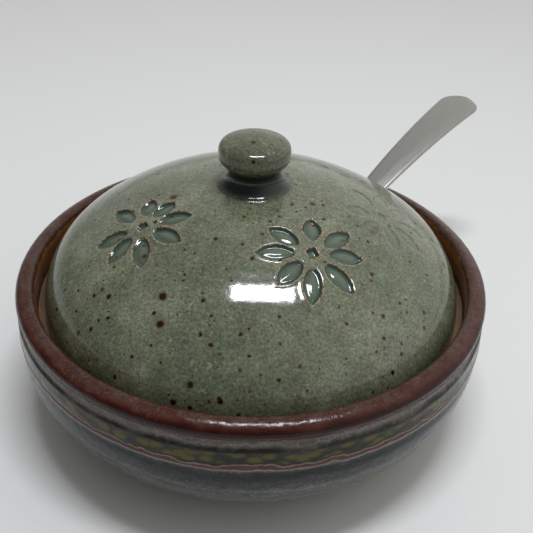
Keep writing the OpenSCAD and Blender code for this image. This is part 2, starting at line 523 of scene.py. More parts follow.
@dataclass(frozen=True)
class IronGlaze:
    """Layered dark iron glaze, dipped and overlapped in bands, on the same stoneware.

    It breaks red-brown on the lip, turns milky, then olive and blue-black down the wall, and
    leaves the gallery and the foot as bare toasted clay. Under the lip's roll the red-brown is
    darkened near black with painted shade, and a dark band of painted shade lies at the foot of
    the gallery wall, in the gap under the lid. The bands follow the attribute that
    holds the distance along the section from the lip's crest, in mm, outwards positive.

    Args:
        name: The material's name.
        along: The attribute's name.
        inside: Distances and colours from the floor of the bowl to the crest.
        wall: The same from the crest down the wall.
        belly: The same from the wall to the middle of the foot.
        milk: Distances and how much milky glaze lies there, from 0 to 1.
        olive: Distances and how much of the row of olive drops shows there.
        drop: Size of an olive drop.
    """

    name: str = "iron_glaze"
    along: str = "along"
    inside: tuple[tuple[float, str], ...] = (
        (-26.0, "5e6250"),
        (-20.6, "5e6250"),
        (-20.0, "6f5439"),
        (-13.0, "5f442b"),
        # Painted shade: this dark stop darkens the foot of the gallery wall, in the gap under the
        # lid.
        (-11.5, "38251a"),
        (-7.0, "70482a"),
        (-4.6, "94602f"),
        (-3.6, "8a5528"),
        (-3.0, "3a2012"),
        (-2.3, "3c1f12"),
        (0.0, "3e1c0f"),
    )
    wall: tuple[tuple[float, str], ...] = (
        (0.0, "3e1c0f"),
        (1.6, "452013"),
        # Painted shade: from here to 5.6 mm the red-brown is darkened near black under the lip's
        # roll.
        (2.5, "3a110a"),
        (3.2, "2c0904"),
        (5.0, "200502"),
        (5.6, "38180f"),
        (6.2, "4a342b"),
        (7.6, "4c3d35"),
        (8.4, "6f665e"),
        (9.2, "4f4c48"),
        (9.8, "2c2e2e"),
        (11.2, "262920"),
        (14.2, "212417"),
        (14.7, "37352f"),
        (14.95, "8f857d"),
        (15.25, "5a342b"),
        (16.3, "523029"),
        (16.6, "8f857d"),
        (16.9, "4a4a48"),
        (17.6, "24282a"),
        (20.0, "151a1d"),
    )
    belly: tuple[tuple[float, str], ...] = (
        (20.0, "151a1d"),
        (24.0, "2c3032"),
        (30.0, "565955"),
        (38.0, "585a55"),
        (58.0, "3a3b3a"),
        (61.0, "3c2a1c"),
        (61.8, "9a6a42"),
        (64.0, "8c6e50"),
        (80.0, "8a7056"),
    )
    milk: tuple[tuple[float, float], ...] = (
        (-5.0, 0.0),
        (-2.2, 0.2),
        (0.8, 0.25),
        (2.4, 0.05),
        (5.4, 0.0),
        (6.4, 0.5),
        (8.0, 0.9),
        (9.2, 0.7),
        (10.2, 0.1),
        (14.6, 0.02),
        (17.2, 0.4),
        (19.0, 0.08),
        (22.0, 0.25),
        (26.0, 0.7),
        (32.0, 0.9),
    )
    olive: tuple[tuple[float, float], ...] = (
        (10.4, 0.0),
        (11.2, 0.8),
        (12.2, 1.0),
        (13.6, 1.0),
        (14.3, 0.0),
    )
    drop: float = 4.2

    def build(self) -> bpy.types.Material:
        """Builds the material.

        Returns:
            The finished glaze.
        """
        material, tree, shader = new_material(self.name)
        where = add_node(tree, "ShaderNodeTexCoord").outputs["Object"]
        along = add_node(tree, "ShaderNodeAttribute", attribute_name=self.along)
        broad = add_node(
            tree, "ShaderNodeTexNoise", {"Vector": where, "Scale": 75.0, "Detail": 3.0}
        )
        fine = add_node(
            tree, "ShaderNodeTexNoise", {"Vector": where, "Scale": 420.0, "Detail": 4.0}
        )
        place = along.outputs["Fac"]
        for noise, reach in ((broad, 1.1), (fine, 0.45)):
            wander = add_node(
                tree,
                "ShaderNodeMapRange",
                {0: noise.outputs[0], 1: 0.25, 2: 0.75, 3: -reach, 4: reach},
            )
            place = add_node(
                tree, "ShaderNodeMath", {0: place, 1: wander.outputs[0]}, operation="ADD"
            ).outputs[0]
        colour = None
        for stops in (self.inside, self.wall, self.belly):
            start, end = stops[0][0], stops[-1][0]
            across = add_node(
                tree, "ShaderNodeMapRange", {0: place, 1: start, 2: end, 3: 0.0, 4: 1.0}
            )
            band = add_node(
                tree,
                "ShaderNodeValToRGB",
                {0: across.outputs[0]},
                stops=[((at - start) / (end - start), srgb(code)) for at, code in stops],
            ).outputs[0]
            if colour is None:
                colour = band
                continue
            beyond = add_node(
                tree, "ShaderNodeMath", {0: place, 1: start}, operation="GREATER_THAN"
            )
            colour = add_node(
                tree,
                "ShaderNodeMix",
                {0: beyond.outputs[0], 6: colour, 7: band},
                data_type="RGBA",
            ).outputs[2]
        colour = self._olive(tree, where, place, colour)
        colour = self._milk(tree, where, place, colour)
        tree.links.new(colour, shader.inputs["Base Color"])
        shader.inputs["IOR"].default_value = 1.33
        rough = add_node(
            tree,
            "ShaderNodeMapRange",
            {0: fine.outputs[0], 1: 0.35, 2: 0.65, 3: 0.1, 4: 0.24},
        )
        tree.links.new(rough.outputs[0], shader.inputs["Roughness"])
        bump = add_node(
            tree,
            "ShaderNodeBump",
            {"Height": fine.outputs[0], "Strength": 0.8, "Distance": 0.2 * MM},
        )
        tree.links.new(bump.outputs[0], shader.inputs["Normal"])
        return material

    def _zone(
        self,
        tree: bpy.types.NodeTree,
        place: bpy.types.NodeSocket,
        stops: tuple[tuple[float, float], ...],
    ) -> bpy.types.NodeSocket:
        """How much of a layer lies at each place along the section, from 0 to 1.

        Args:
            tree: The material's tree.
            place: Distance along the section, in mm.
            stops: Distances in mm and the layer's share at each.

        Returns:
            The share at this place.
        """
        start, end = stops[0][0], stops[-1][0]
        across = add_node(
            tree, "ShaderNodeMapRange", {0: place, 1: start, 2: end, 3: 0.0, 4: 1.0}
        )
        return add_node(
            tree,
            "ShaderNodeValToRGB",
            {0: across.outputs[0]},
            stops=[
                ((at - start) / (end - start), (share, share, share, 1.0)) for at, share in stops
            ],
        ).outputs[0]

    def _olive(
        self,
        tree: bpy.types.NodeTree,
        where: bpy.types.NodeSocket,
        place: bpy.types.NodeSocket,
        colour: bpy.types.NodeSocket,
    ) -> bpy.types.NodeSocket:
        """A row of olive drops, where the lower glaze gathered under the upper one.

        Args:
            tree: The material's tree.
            where: Coordinates on the piece.
            place: Distance along the section, in mm.
            colour: The colour so far.

        Returns:
            The colour with the drops in it.
        """
        flat = add_node(
            tree, "ShaderNodeMapping", {"Vector": where, "Scale": (1.0, 1.0, 1.7)}
        )
        cells = add_node(
            tree,
            "ShaderNodeTexVoronoi",
            {"Vector": flat.outputs[0], "Scale": 1 / (self.drop * MM)},
        )
        drops = add_node(
            tree,
            "ShaderNodeMapRange",
            {0: cells.outputs["Distance"], 1: 0.68, 2: 0.3, 3: 0.0, 4: 1.0},
            interpolation_type="SMOOTHSTEP",
        )
        amount = add_node(
            tree,
            "ShaderNodeMath",
            {0: drops.outputs[0], 1: self._zone(tree, place, self.olive)},
            operation="MULTIPLY",
        )
        return add_node(
            tree,
            "ShaderNodeMix",
            {0: amount.outputs[0], 6: colour, 7: srgb("57511b")},
            data_type="RGBA",
        ).outputs[2]

    def _milk(
        self,
        tree: bpy.types.NodeTree,
        where: bpy.types.NodeSocket,
        place: bpy.types.NodeSocket,
        colour: bpy.types.NodeSocket,
    ) -> bpy.types.NodeSocket:
        """Pale broken runs and pinpoints where the upper glaze lies over the lower one.

        Args:
            tree: The material's tree.
            where: Coordinates on the piece.
            place: Distance along the section, in mm.
            colour: The colour so far.

        Returns:
            The colour with the milky runs in it.
        """
        flat = add_node(
            tree, "ShaderNodeMapping", {"Vector": where, "Scale": (1.0, 1.0, 3.0)}
        )
        runs = add_node(
            tree,
            "ShaderNodeTexNoise",
            {"Vector": flat.outputs[0], "Scale": 200.0, "Detail": 6.0, "Roughness": 0.75},
        )
        points = add_node(
            tree, "ShaderNodeTexNoise", {"Vector": where, "Scale": 1700.0, "Detail": 2.0}
        )
        zone = self._zone(tree, place, self.milk)
        for noise, low, high, most, tone in (
            (runs, 0.42, 0.66, 0.8, "6f6b6a"),
            (points, 0.58, 0.7, 0.7, "9c9790"),
        ):
            amount = add_node(
                tree,
                "ShaderNodeMapRange",
                {0: noise.outputs[0], 1: low, 2: high, 3: 0.0, 4: most},
            )
            amount = add_node(
                tree,
                "ShaderNodeMath",
                {0: amount.outputs[0], 1: zone},
                operation="MULTIPLY",
            )
            colour = add_node(
                tree,
                "ShaderNodeMix",
                {0: amount.outputs[0], 6: colour, 7: srgb(tone)},
                data_type="RGBA",
            ).outputs[2]
        return colour


@dataclass(frozen=True)
class SatinSteel:
    """Stainless steel, stamped, then brushed along its length to a satin."""

    name: str = "satin_stainless_steel"
    base: Colour = srgb("a09f9c")

    def build(self) -> bpy.types.Material:
        """Builds the material.

        Returns:
            The finished steel.
        """
        material, tree, shader = new_material(self.name)
        shader.inputs["Metallic"].default_value = 1.0
        grain = add_node(tree, "ShaderNodeAttribute", attribute_name="grain")
        lines = add_node(
            tree,
            "ShaderNodeTexNoise",
            {"Vector": grain.outputs["Vector"], "Scale": 1.0, "Detail": 3.0},
        )
        tone = add_node(
            tree,
            "ShaderNodeMapRange",
            {0: lines.outputs[0], 1: 0.3, 2: 0.7, 3: 0.9, 4: 1.06},
        )
        colour = add_node(
            tree,
            "ShaderNodeHueSaturation",
            {"Color": self.base, "Value": tone.outputs[0]},
        )
        tree.links.new(colour.outputs[0], shader.inputs["Base Color"])
        rough = add_node(
            tree,
            "ShaderNodeMapRange",
            {0: lines.outputs[0], 1: 0.3, 2: 0.7, 3: 0.26, 4: 0.36},
        )
        tree.links.new(rough.outputs[0], shader.inputs["Roughness"])
        bump = add_node(
            tree,
            "ShaderNodeBump",
            {"Height": lines.outputs[0], "Strength": 0.3, "Distance": 0.02 * MM},
        )
        tree.links.new(bump.outputs[0], shader.inputs["Normal"])
        return material


# ---------------------------------------------------------------------------------------------
# Sections and turned pieces


class Section:
    """Half the section of a turned piece, drawn with lines and arcs as a list of points."""

    def __init__(self, start: Point) -> None:
        """Starts the outline at one point."""
        self.points: list[Point] = [start]

    def line(self, r: float, z: float) -> "Section":
        """Adds a straight stretch to the point (r, z)."""
        self.points.append((r, z))
        return self

    def arc(self, centre: Point, radius: float, start: float, end: float) -> "Section":
        """Adds an arc.

        Args:
            centre: The arc's centre.
            radius: Its radius.
            start: Its first direction, in degrees from +r towards +z.
            end: Its last direction.

        Returns:
            The section itself.
        """
        steps = max(6, round(abs(end - start) * radius / 40))
        for i in range(steps + 1):
            a = math.radians(start + (end - start) * i / steps)
            point = (centre[0] + radius * math.cos(a), centre[1] + radius * math.sin(a))
            self.points.append(point)
        return self

    def even(self, spacing: Callable[[float, float], float], passes: int) -> np.ndarray:
        """Spaces the points evenly and softens the corners, as glaze does.

        Args:
            spacing: Gives the wanted spacing at a point.
            passes: How many times each point moves towards its neighbours' middle.

        Returns:
            One row of r and z for each point.
        """
        raw = np.array(self.points)
        steps = np.hypot(*np.diff(raw, axis=0).T)
        raw = raw[np.concatenate([[True], steps > 1e-6])]
        length = path_lengths(raw)
        stations = [0.0]
        while stations[-1] < length[-1]:
            at = stations[-1]
            r, z = np.interp(at, length, raw[:, 0]), np.interp(at, length, raw[:, 1])
            stations.append(at + spacing(r, z))
        stations[-1] = length[-1]
        path = np.stack([np.interp(stations, length, raw[:, k]) for k in (0, 1)], -1)
        for _ in range(passes):
            path[1:-1] = path[1:-1] / 2 + (path[:-2] + path[2:]) / 4
        return path


def path_lengths(path: np.ndarray) -> np.ndarray:
    """Adds up the length along a path.

    Args:
        path: One row for each point.

    Returns:
        The length up to each point.
    """
    return np.concatenate([[0], np.cumsum(np.hypot(*np.diff(path, axis=0).T))])


def tube_faces(rings: int, size: int) -> list[tuple[int, ...]]:
    """Joins rings of points, which are numbered in order, into a closed skin.

    Args:
        rings: How many rings there are. The two end points are numbered after them.
        size: Points in each ring.

    Returns:
        The vertex numbers of each face.
    """
    faces: list[tuple[int, ...]] = []
    for j in range(rings - 1):
        for i in range(size):
            k = (i + 1) % size
            faces.append((j * size + i, j * size + k, (j + 1) * size + k, (j + 1) * size + i))
    first_end, last = rings * size, (rings - 1) * size
    for i in range(size):
        k = (i + 1) % size
        faces.append((first_end, k, i))
        faces.append((first_end + 1, last + i, last + k))
    return faces


def mesh_object(
    name: str,
    vertices: np.ndarray,
    faces: Iterable[Sequence[int]],
    attributes: dict[str, np.ndarray] | None = None,
) -> bpy.types.Object:
    """Makes a mesh object from points in mm.

    Args:
        name: The object's name.
        vertices: One row of x, y, z for each vertex.
        faces: Vertex numbers of each face.
        attributes: Float or vector values for each vertex, by name.

    Returns:
        The object, linked to the scene.
    """
    mesh = bpy.data.meshes.new(name)
    mesh.from_pydata((vertices * MM).tolist(), [], [tuple(f) for f in faces])
    for key, values in (attributes or {}).items():
        vector = values.ndim == 2
        layer = mesh.attributes.new(key, "FLOAT_VECTOR" if vector else "FLOAT", "POINT")
        layer.data.foreach_set("vector" if vector else "value", values.astype(np.float32).ravel())
    mesh.update()
    piece = bpy.data.objects.new(name, mesh)
    bpy.context.scene.collection.objects.link(piece)
    return piece


def apply_tree(
    piece: bpy.types.Object, tree: bpy.types.NodeTree, values: dict[str, object]
) -> bpy.types.Object:
    """Runs a geometry tree on an object and keeps the result as its plain mesh.

    Args:
        piece: The object with the tree's starting geometry.
        tree: The geometry tree.
        values: Values for the tree's named inputs.

    Returns:
        The same object, with no modifier left on it.
    """
    modifier = piece.modifiers.new("shape", "NODES")
    modifier.node_group = tree
    for item in tree.interface.items_tree:
        if item.item_type == "SOCKET" and item.in_out == "INPUT" and item.name in values:
            modifier[item.identifier] = values[item.name]
    graph = bpy.context.evaluated_depsgraph_get()
    made = bpy.data.meshes.new_from_object(piece.evaluated_get(graph))
    piece.modifiers.clear()
    old = piece.data
    piece.data = made
    bpy.data.meshes.remove(old)
    made.name = piece.name
    return piece


def outward(piece: bpy.types.Object) -> bpy.types.Object:
    """Turns a closed mesh's faces outwards where its signed volume is negative.

    Args:
        piece: The object with the closed mesh.

    Returns:
        The same object, shaded smooth.
    """
    work = bmesh.new()
    work.from_mesh(piece.data)
    if work.calc_volume(signed=True) < 0:
        bmesh.ops.reverse_faces(work, faces=work.faces)
    work.to_mesh(piece.data)
    work.free()
    piece.data.shade_smooth()
    return piece


def new_tree(name: str, sockets: Sequence[tuple[str, str]]) -> bpy.types.NodeTree:
    """Starts a geometry tree.

    Args:
        name: The tree's name.
        sockets: Name and socket type of each input after the geometry.

    Returns:
        The tree, with its inputs and its one geometry output declared.
    """
    tree = bpy.data.node_groups.new(name, "GeometryNodeTree")
    tree.interface.new_socket("Geometry", in_out="INPUT", socket_type="NodeSocketGeometry")
    for label, kind in sockets:
        tree.interface.new_socket(label, in_out="INPUT", socket_type=kind)
    tree.interface.new_socket("Geometry", in_out="OUTPUT", socket_type="NodeSocketGeometry")
    return tree


def turning_tree() -> bpy.types.NodeTree:
    """The potter's wheel: turns a half section round +Z into a closed piece.

    Each point of the section becomes a ring. Throwing leaves the rings a little out of round
    (Wobble) and the wall with faint spiral finger ridges (Ridge Depth, Ridge Pitch).

    Returns:
        The geometry tree. It keeps the section's "along" attribute.
    """
    tree = new_tree(
        "turning",
        (
            ("Segments", "NodeSocketInt"),
            ("Wobble", "NodeSocketFloat"),
            ("Ridge Depth", "NodeSocketFloat"),
            ("Ridge Pitch", "NodeSocketFloat"),
            ("Seed", "NodeSocketFloat"),
            ("Material", "NodeSocketMaterial"),
        ),
    )
    given = add_node(tree, "NodeGroupInput").outputs
    count = add_node(tree, "GeometryNodeAttributeDomainSize", {0: given["Geometry"]})
    columns = add_node(
        tree, "ShaderNodeMath", {0: given["Segments"], 1: 1.0}, operation="ADD"
    )
    grid = add_node(
        tree,
        "GeometryNodeMeshGrid",
        {
            "Size X": 1.0,
            "Size Y": 1.0,
            "Vertices X": count.outputs["Point Count"],
            "Vertices Y": columns.outputs[0],
        },
    )
    place = add_node(
        tree,
        "ShaderNodeSeparateXYZ",
        {0: add_node(tree, "GeometryNodeInputPosition").outputs[0]},
    )
    last = add_node(
        tree,
        "ShaderNodeMath",
        {0: count.outputs["Point Count"], 1: 1.0},
        operation="SUBTRACT",
    )
    row = add_node(
        tree,
        "ShaderNodeMath",
        {
            0: add_node(
                tree, "ShaderNodeMath", {0: place.outputs[0], 1: 0.5}, operation="ADD"
            ).outputs[0],
            1: last.outputs[0],
            2: 0.5,
        },
        operation="MULTIPLY_ADD",
    )
    angle = add_node(
        tree,
        "ShaderNodeMath",
        {0: place.outputs[1], 1: 2 * math.pi, 2: math.pi},
        operation="MULTIPLY_ADD",
    )
    point = add_node(
        tree,
        "GeometryNodeSampleIndex",
        {
            0: given["Geometry"],
            1: add_node(tree, "GeometryNodeInputPosition").outputs[0],
            "Index": row.outputs[0],
        },
        data_type="FLOAT_VECTOR",
    )
    along = add_node(
        tree,
        "GeometryNodeSampleIndex",
        {
            0: given["Geometry"],
            1: add_node(
                tree, "GeometryNodeInputNamedAttribute", {0: "along"}, data_type="FLOAT"
            ).outputs[0],
            "Index": row.outputs[0],
        },
        data_type="FLOAT",
    )
    flat = add_node(tree, "ShaderNodeSeparateXYZ", {0: point.outputs[0]})
    cosine = add_node(tree, "ShaderNodeMath", {0: angle.outputs[0]}, operation="COSINE")
    sine = add_node(tree, "ShaderNodeMath", {0: angle.outputs[0]}, operation="SINE")
    drift = add_node(
        tree,
        "ShaderNodeTexNoise",
        {
            "Vector": add_node(
                tree,
                "ShaderNodeCombineXYZ",
                {
                    0: cosine.outputs[0],
                    1: sine.outputs[0],
                    2: add_node(
                        tree,
                        "ShaderNodeMath",
                        {0: flat.outputs[2], 1: 30.0, 2: given["Seed"]},
                        operation="MULTIPLY_ADD",
                    ).outputs[0],
                },
            ).outputs[0],
            "Scale": 0.9,
            "Detail": 1.0,
        },
    )
    out_of_round = add_node(
        tree,
        "ShaderNodeMath",
        {
            0: add_node(
                tree,
                "ShaderNodeMath",
                {0: drift.outputs[0], 1: 0.5},
                operation="SUBTRACT",
            ).outputs[0],
            1: given["Wobble"],
        },
        operation="MULTIPLY",
    )
    turn = add_node(
        tree,
        "ShaderNodeMath",
        {0: flat.outputs[2], 1: given["Ridge Pitch"]},
        operation="DIVIDE",
    )
    phase = add_node(
        tree,
        "ShaderNodeMath",
        {0: turn.outputs[0], 1: 2 * math.pi, 2: angle.outputs[0]},
        operation="MULTIPLY_ADD",
    )
    ridges = add_node(
        tree,
        "ShaderNodeMath",
        {
            0: add_node(
                tree, "ShaderNodeMath", {0: phase.outputs[0]}, operation="SINE"
            ).outputs[0],
            1: given["Ridge Depth"],
            2: out_of_round.outputs[0],
        },
        operation="MULTIPLY_ADD",
    )
    fade = add_node(
        tree,
        "ShaderNodeMapRange",
        {0: flat.outputs[0], 1: 0.0, 2: 20 * MM, 3: 0.0, 4: 1.0},
    )
    radius = add_node(
        tree,
        "ShaderNodeMath",
        {0: ridges.outputs[0], 1: fade.outputs[0], 2: flat.outputs[0]},
        operation="MULTIPLY_ADD",
    )
    ring = add_node(
        tree,
        "ShaderNodeCombineXYZ",
        {
            0: add_node(
                tree,
                "ShaderNodeMath",
                {0: radius.outputs[0], 1: cosine.outputs[0]},
                operation="MULTIPLY",
            ).outputs[0],
            1: add_node(
                tree,
                "ShaderNodeMath",
                {0: radius.outputs[0], 1: sine.outputs[0]},
                operation="MULTIPLY",
            ).outputs[0],
            2: flat.outputs[2],
        },
    )
    kept = add_node(
        tree,
        "GeometryNodeStoreNamedAttribute",
        {0: grid.outputs[0], "Name": "along", "Value": along.outputs[0]},
        data_type="FLOAT",
        domain="POINT",
    )
    placed = add_node(
        tree, "GeometryNodeSetPosition", {0: kept.outputs[0], "Position": ring.outputs[0]}
    )
    closed = add_node(
        tree, "GeometryNodeMergeByDistance", {0: placed.outputs[0], "Distance": 1e-6}
    )
    real = add_node(tree, "GeometryNodeRealizeInstances", {0: closed.outputs[0]})
    dressed = add_node(
        tree, "GeometryNodeSetMaterial", {0: real.outputs[0], "Material": given["Material"]}
    )
    add_node(tree, "NodeGroupOutput", {0: dressed.outputs[0]})
    return tree


def stamping_tree() -> bpy.types.NodeTree:
    """The potter's stamps: presses petals and pips into a clay surface.

    The stamps come as an object of loose points. Each point has the attributes "up", the
    surface's normal there, "run", the direction of the petal, "long", its length in mm, "pip",
    1 for the square in a flower's middle, and "press", how far the stamp stands open. The tree
    keeps the distance from the nearest outline, in mm and negative inside, as "stamp_edge", and
    the press as "stamp_press".

    Returns:
        The geometry tree.
    """
    tree = new_tree(
        "stamping",
        (
            ("Stamps", "NodeSocketObject"),
            ("Petal Width", "NodeSocketFloat"),
            ("Depth", "NodeSocketFloat"),
            ("Vein Height", "NodeSocketFloat"),
            ("Material", "NodeSocketMaterial"),
        ),
    )
    given = add_node(tree, "NodeGroupInput").outputs
    here = add_node(tree, "GeometryNodeInputPosition").outputs[0]
    stamps = add_node(tree, "GeometryNodeObjectInfo", {"Object": given["Stamps"]})
    nearest = add_node(
        tree,
        "GeometryNodeSampleNearest",
        {0: stamps.outputs["Geometry"], "Sample Position": here},
        domain="POINT",
    )
    sampled: dict[str, bpy.types.NodeSocket] = {}
    for key, kind in (
        ("centre", ""),
        ("up", "FLOAT_VECTOR"),
        ("run", "FLOAT_VECTOR"),
        ("long", "FLOAT"),
        ("pip", "FLOAT"),
        ("press", "FLOAT"),
    ):
        source = (
            add_node(tree, "GeometryNodeInputNamedAttribute", {0: key}, data_type=kind)
            if kind
            else add_node(tree, "GeometryNodeInputPosition")
        )
        sampled[key] = add_node(
            tree,
            "GeometryNodeSampleIndex",
            {
                0: stamps.outputs["Geometry"],
                1: source.outputs[0],
                "Index": nearest.outputs[0],
            },
            data_type=kind or "FLOAT_VECTOR",
        ).outputs[0]
    away = add_node(
        tree, "ShaderNodeVectorMath", {0: here, 1: sampled["centre"]}, operation="SUBTRACT"
    ).outputs[0]
    side = add_node(
        tree,
        "ShaderNodeVectorMath",
        {0: sampled["up"], 1: sampled["run"]},
        operation="CROSS_PRODUCT",
    ).outputs[0]
    part: dict[str, bpy.types.NodeSocket] = {}
    for key, axis in (("run", sampled["run"]), ("side", side), ("up", sampled["up"])):
        dot = add_node(
            tree, "ShaderNodeVectorMath", {0: away, 1: axis}, operation="DOT_PRODUCT"
        )
        part[key] = add_node(
            tree,
            "ShaderNodeMath",
            {0: dot.outputs["Value"], 1: 1 / MM},
            operation="MULTIPLY",
        ).outputs[0]
    across = add_node(tree, "ShaderNodeMath", {0: part["side"]}, operation="ABSOLUTE").outputs[0]
    run = add_node(tree, "ShaderNodeMath", {0: part["run"]}, operation="ABSOLUTE").outputs[0]

    # A petal is the lens between two arcs of one radius through its tips.
    square = add_node(
        tree,
        "ShaderNodeMath",
        {0: sampled["long"], 1: sampled["long"]},
        operation="MULTIPLY",
    )
    squares = add_node(
        tree,
        "ShaderNodeMath",
        {0: given["Petal Width"], 1: given["Petal Width"], 2: square.outputs[0]},
        operation="MULTIPLY_ADD",
    )
    four_widths = add_node(
        tree, "ShaderNodeMath", {0: given["Petal Width"], 1: 4.0}, operation="MULTIPLY"
    )
    arc_radius = add_node(
        tree,
        "ShaderNodeMath",
        {0: squares.outputs[0], 1: four_widths.outputs[0]},
        operation="DIVIDE",
    ).outputs[0]
    half_width = add_node(
        tree, "ShaderNodeMath", {0: given["Petal Width"], 1: 0.5}, operation="MULTIPLY"
    )
    set_off = add_node(
        tree, "ShaderNodeMath", {0: arc_radius, 1: half_width.outputs[0]}, operation="SUBTRACT"
    )
    from_centre = add_node(
        tree, "ShaderNodeMath", {0: across, 1: set_off.outputs[0]}, operation="ADD"
    )
    offset = add_node(tree, "ShaderNodeCombineXYZ", {0: run, 1: from_centre.outputs[0]})
    reach = add_node(tree, "ShaderNodeVectorMath", {0: offset.outputs[0]}, operation="LENGTH")
    petal = add_node(
        tree,
        "ShaderNodeMath",
        {0: reach.outputs["Value"], 1: arc_radius},
        operation="SUBTRACT",
    )
    half_side = add_node(
        tree, "ShaderNodeMath", {0: sampled["long"], 1: 0.5}, operation="MULTIPLY"
    )
    widest = add_node(tree, "ShaderNodeMath", {0: run, 1: across}, operation="MAXIMUM")
    pip = add_node(
        tree,
        "ShaderNodeMath",
        {0: widest.outputs[0], 1: half_side.outputs[0]},
        operation="SUBTRACT",
    )
    edge = add_node(
        tree,
        "ShaderNodeMix",
        {0: sampled["pip"], 2: petal.outputs[0], 3: pip.outputs[0]},
        data_type="FLOAT",
    ).outputs[0]
    outside_only = add_node(
        tree, "ShaderNodeMath", {0: part["up"], 1: -2.5}, operation="LESS_THAN"
    )
    edge = add_node(
        tree,
        "ShaderNodeMath",
        {0: outside_only.outputs[0], 1: 20.0, 2: edge},
        operation="MULTIPLY_ADD",
    ).outputs[0]

    pressed = add_node(
        tree,
        "ShaderNodeMapRange",
        {0: edge, 1: 0.1, 2: -0.75, 3: 0.0, 4: 1.0},
        interpolation_type="SMOOTHSTEP",
    )
    vein = add_node(
        tree,
        "ShaderNodeMapRange",
        {0: edge, 1: -0.9, 2: -2.6, 3: 0.0, 4: 1.0},
        interpolation_type="SMOOTHSTEP",
    )
    burr = add_node(
        tree,
        "ShaderNodeMapRange",
        {
            0: add_node(
                tree,
                "ShaderNodeMath",
                {
                    0: add_node(
                        tree, "ShaderNodeMath", {0: edge, 1: 0.45}, operation="SUBTRACT"
                    ).outputs[0]
                },
                operation="ABSOLUTE",
            ).outputs[0],
            1: 0.6,
            2: 0.0,
            3: 0.0,
            4: 0.1,
        },
        interpolation_type="SMOOTHSTEP",
    )
    depth = add_node(
        tree,
        "ShaderNodeMath",
        {0: sampled["pip"], 1: 0.5, 2: 1.0},
        operation="MULTIPLY_ADD",
    )
    deep = add_node(
        tree,
        "ShaderNodeMath",
        {0: depth.outputs[0], 1: given["Depth"]},
        operation="MULTIPLY",
    )
    down = add_node(
        tree,
        "ShaderNodeMath",
        {0: pressed.outputs[0], 1: deep.outputs[0]},
        operation="MULTIPLY",
    )
    raised = add_node(
        tree,
        "ShaderNodeMath",
        {0: vein.outputs[0], 1: given["Vein Height"], 2: burr.outputs[0]},
        operation="MULTIPLY_ADD",
    )
    shift = add_node(
        tree,
        "ShaderNodeMath",
        {0: raised.outputs[0], 1: down.outputs[0]},
        operation="SUBTRACT",
    )
    open_shift = add_node(
        tree, "ShaderNodeMath", {0: shift.outputs[0], 1: sampled["press"]}, operation="MULTIPLY"
    )
    metres = add_node(
        tree, "ShaderNodeMath", {0: open_shift.outputs[0], 1: MM}, operation="MULTIPLY"
    )
    offset = add_node(
        tree,
        "ShaderNodeVectorMath",
        {0: sampled["up"], "Scale": metres.outputs[0]},
        operation="SCALE",
    )
    kept = add_node(
        tree,
        "GeometryNodeStoreNamedAttribute",
        {0: given["Geometry"], "Name": "stamp_edge", "Value": edge},
        data_type="FLOAT",
        domain="POINT",
    )
    pressed_by = add_node(
        tree,
        "GeometryNodeStoreNamedAttribute",
        {0: kept.outputs[0], "Name": "stamp_press", "Value": sampled["press"]},
        data_type="FLOAT",
        domain="POINT",
    )
    moved = add_node(
        tree,
        "GeometryNodeSetPosition",
        {0: pressed_by.outputs[0], "Offset": offset.outputs[0]},
    )
    real = add_node(tree, "GeometryNodeRealizeInstances", {0: moved.outputs[0]})
    dressed = add_node(
        tree, "GeometryNodeSetMaterial", {0: real.outputs[0], "Material": given["Material"]}
    )
    add_node(tree, "NodeGroupOutput", {0: dressed.outputs[0]})
    return tree


# ---------------------------------------------------------------------------------------------
# Pieces


class Side(Enum):
    """The two skins of a turned shell."""

    OUTER = 1
    INNER = -1


